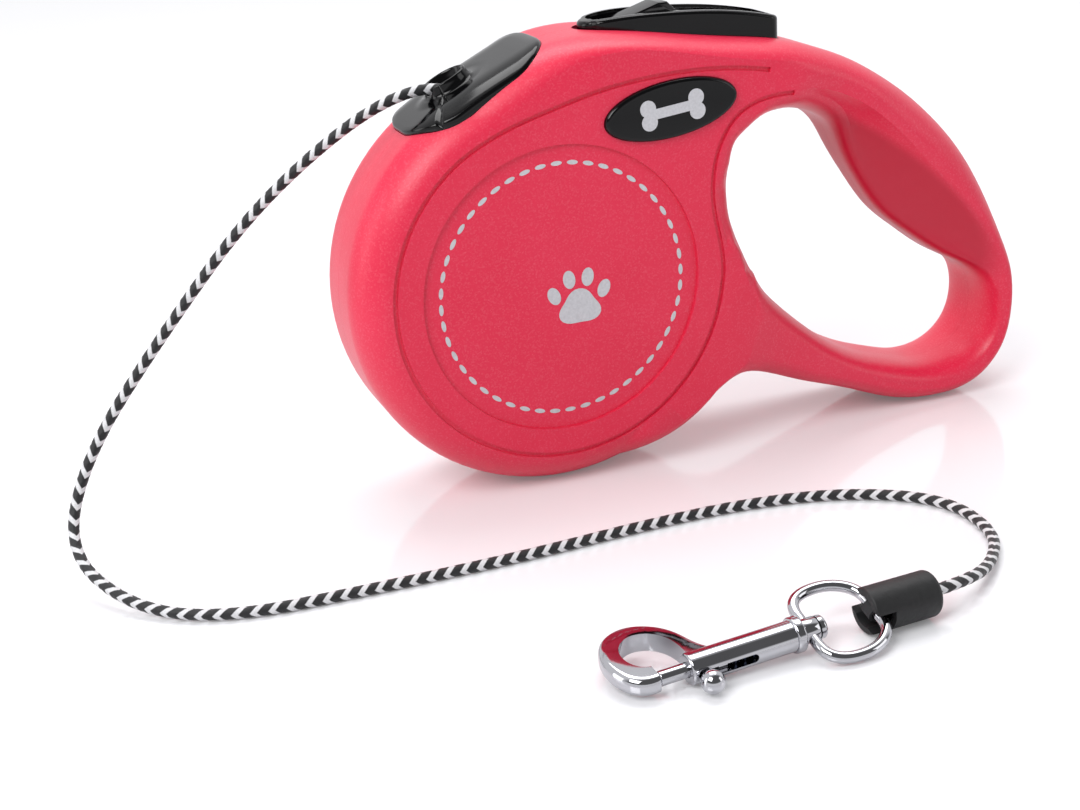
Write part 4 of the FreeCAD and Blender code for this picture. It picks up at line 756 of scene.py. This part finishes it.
def dash_ring(name, material, depth):
    """A ring of short printed dashes, like a row of stitches."""
    tree = bpy.data.node_groups.new("dashes round a circle", "GeometryNodeTree")
    sockets = {}
    for label, kind, value in (
            ("Ring radius", "Float", DASH_RADIUS * MM), ("Dash count", "Int", DASH_COUNT),
            ("Dash length", "Float", DASH_LENGTH * MM), ("Dash width", "Float", DASH_WIDTH * MM),
            ("Dash thickness", "Float", DASH_INK * MM), ("Ink", "Material", material)):
        socket = tree.interface.new_socket(label, in_out="INPUT", socket_type="NodeSocket" + kind)
        sockets[socket.identifier] = value
    tree.interface.new_socket("Geometry", in_out="OUTPUT", socket_type="NodeSocketGeometry")
    given = add_node(tree, "NodeGroupInput").outputs
    circle = add_node(tree, "GeometryNodeMeshCircle", {
        "Vertices": given["Dash count"], "Radius": given["Ring radius"]})
    number = add_node(tree, "GeometryNodeInputIndex")
    step = add_node(tree, "ShaderNodeMath", {0: 2 * math.pi, 1: given["Dash count"]}, operation="DIVIDE")
    turn = add_node(tree, "ShaderNodeMath", {0: number.outputs[0], 1: step.outputs[0]}, operation="MULTIPLY")
    facing = add_node(tree, "ShaderNodeCombineXYZ", {"Z": turn.outputs[0]})
    size = add_node(tree, "ShaderNodeCombineXYZ", {
        "X": given["Dash width"], "Y": given["Dash length"], "Z": given["Dash thickness"]})
    dash = add_node(tree, "GeometryNodeMeshCylinder", {"Vertices": 16, "Radius": 0.5, "Depth": 1.0})
    dashes = add_node(tree, "GeometryNodeInstanceOnPoints", {
        "Points": circle.outputs["Mesh"], "Instance": dash.outputs["Mesh"], "Rotation": facing.outputs[0],
        "Scale": size.outputs[0]})
    real = add_node(tree, "GeometryNodeRealizeInstances", {0: dashes.outputs[0]})
    upright = add_node(tree, "GeometryNodeTransform", {
        "Geometry": real.outputs[0], "Rotation": (math.pi / 2, 0, 0),
        "Translation": (CASING_X * MM, -depth * MM, REEL_Z * MM)})
    inked = add_node(tree, "GeometryNodeSetMaterial", {
        "Geometry": upright.outputs[0], "Material": given["Ink"]})
    add_node(tree, "NodeGroupOutput", {0: inked.outputs[0]})
    holder = bpy.data.objects.new(name, bpy.data.meshes.new(name))
    bpy.context.scene.collection.objects.link(holder)
    modifier = holder.modifiers.new("dashes", "NODES")
    modifier.node_group = tree
    for identifier, value in sockets.items():
        modifier[identifier] = value
    bpy.context.view_layer.update()
    mesh = bpy.data.meshes.new_from_object(holder.evaluated_get(bpy.context.evaluated_depsgraph_get()))
    bpy.data.objects.remove(holder)
    return mesh_object(name, mesh, material, "housing")


# ------------------------------------------------------------------ floor and light
FLOOR_HALF, FLOOR_DROP = 4.0, 0.0001      # half its side in metres, and how far it lies under the part


def floor(material):
    """A plain board under everything."""
    mesh = bpy.data.meshes.new("floor")
    corners = [(FLOOR_HALF * a, FLOOR_HALF * b, 0) for a, b in ((-1, -1), (1, -1), (1, 1), (-1, 1))]
    mesh.from_pydata(corners, [], [(0, 1, 2, 3)])
    board = bpy.data.objects.new("floor", mesh)
    bpy.context.scene.collection.objects.link(board)
    board.location.z = -FLOOR_DROP
    mesh.materials.append(material)


def soft_light(name, place, aim, size, power):
    """A soft box, its place and size in metres and its power in watts."""
    lamp = bpy.data.lights.new(name, "AREA")
    lamp.shape = "RECTANGLE"
    lamp.size, lamp.size_y = size
    lamp.energy = power
    holder = bpy.data.objects.new(name, lamp)
    holder.location = place
    holder.rotation_euler = (Vector(aim) - Vector(place)).to_track_quat("-Z", "Y").to_euler()
    bpy.context.scene.collection.objects.link(holder)


DARK_MIRRORED, WHITE_MIRRORED, ROOM_GLOW = 0.14, 0.95, 0.50     # the room as mirrored, and as it lights


def studio_world():
    """A plain white room. In shiny things its near side shows dark, which gives the chrome and the black their
    contrast; the far side and all that is low stay bright."""
    world = bpy.data.worlds.new("studio")
    world.use_nodes = True
    tree = world.node_tree
    tree.nodes.clear()
    direction = add_node(tree, "ShaderNodeTexCoord").outputs["Generated"]
    height = add_node(tree, "ShaderNodeSeparateXYZ", {0: direction})
    low = add_node(tree, "ShaderNodeMapRange", {
        "Value": height.outputs[2], "From Min": 0.08, "From Max": 0.26, "To Min": 1.0, "To Max": 0.0},
        interpolation_type="SMOOTHSTEP")
    far_side = add_node(tree, "ShaderNodeMapRange", {
        "Value": height.outputs[1], "From Min": -0.25, "From Max": 0.10}, interpolation_type="SMOOTHSTEP")
    white = add_node(tree, "ShaderNodeMath", {0: low.outputs[0], 1: far_side.outputs[0]}, operation="MAXIMUM")
    mirrored = add_node(tree, "ShaderNodeMapRange", {
        "Value": white.outputs[0], "To Min": DARK_MIRRORED, "To Max": WHITE_MIRRORED})
    rays = add_node(tree, "ShaderNodeLightPath")
    soft = add_node(tree, "ShaderNodeMix", {
        0: rays.outputs["Is Glossy Ray"], 2: ROOM_GLOW, 3: mirrored.outputs[0]})
    seen = add_node(tree, "ShaderNodeMix", {0: rays.outputs["Is Camera Ray"], 2: soft.outputs[0], 3: 1.0})
    sky = add_node(tree, "ShaderNodeBackground", {"Color": colour("#FDFDFF"), "Strength": seen.outputs[0]})
    add_node(tree, "ShaderNodeOutputWorld", {"Surface": sky.outputs[0]})
    bpy.context.scene.world = world


def lighting():
    """A large key from the near upper left, a top light, and a weak light on each side."""
    soft_light("key", (-0.60, -0.40, 0.70), (-0.02, 0, 0.04), (0.5, 0.5), 5.6)
    soft_light("top", (0.10, 0.30, 0.90), (0, 0, 0.04), (0.8, 0.5), 5.0)
    soft_light("left", (-0.80, 0.10, 0.22), (-0.05, 0, 0.05), (0.3, 0.5), 0.9)
    soft_light("right", (0.75, -0.50, 0.40), (0, 0, 0.04), (0.4, 0.5), 1.1)
    studio_world()


# ------------------------------------------------------------------ the scene
PAW, BONE = (3.0, -4.0, 7.0), (22.3, 30.3, 12.6, 1.55, 6.0)

# BE0830 is the painted shade of the grip's inside
CASING = casing_plastic("flaked ABS", "#DC1C40", "#E4294D", "#BE0830", "#F08C9C", 0.16)
BLACK = gloss_black("polished black ABS")
CHROME = polished_chrome("chrome plate")
SILVER = silver_ink("silver foil")
CORD = braided_cord("braided polyester cord")
FINISH = {
    "casing": CASING,
    "badge": BLACK,
    "black_gloss": BLACK,
    "reel_plastic": matt_moulding("grey acetal", "#2A2B2E", "#3A3B3F", 0.45, 400.0, 0.0001),
    "axle_plastic": matt_moulding("white acetal", "#D8D7D2", "#E6E5E1", 0.35, 400.0, 0.0001),
    "cord": matt_moulding("cord yarn", "#121214", "#2A2A2D", 0.7, 700.0, 0.0002),
    "rubber": matt_moulding("black rubber", "#0B0B0C", "#1B1B1D", 0.55, 900.0, 0.0002),
    "chrome": CHROME,
    "steel": plain_metal("bright steel", "#8E9094", "#B9BBC0", 0.32, 300.0),
    "spring_steel": plain_metal("blued spring steel", "#2C3140", "#4A5266", 0.36, 260.0),
}
OWN_MESH = ("leash_cord", "cord_outlet", "casing_front", "casing_back", "swivel_ring")

make_camera()
cord_piece, cord_points = leash_cord(CORD)
for node, slot in SLOT_OF.items():
    if node not in OWN_MESH:
        smoothed(node, "seen_" + node, FINISH[slot])
casing_half("casing_front", "seen_casing_front", CASING)
casing_half("casing_back", "seen_casing_back", CASING)
swivel_ring(CHROME)
outlet_plate("outlet_plate", BLACK)
slim_nose(bpy.data.objects["seen_brake_button"])
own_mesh(bpy.data.objects["seen_snap_spring"])

dash_ring("face_dashes", SILVER, FACE_DEPTH)
flat_print("face_paw", paw_print(*PAW), SILVER, FACE_DEPTH)
flat_print("badge_bone", bone(*BONE), SILVER, BADGE_DEPTH)

floor(lacquered_floor("white lacquer"))
lighting()
bpy.context.scene.view_settings.view_transform = "Standard"
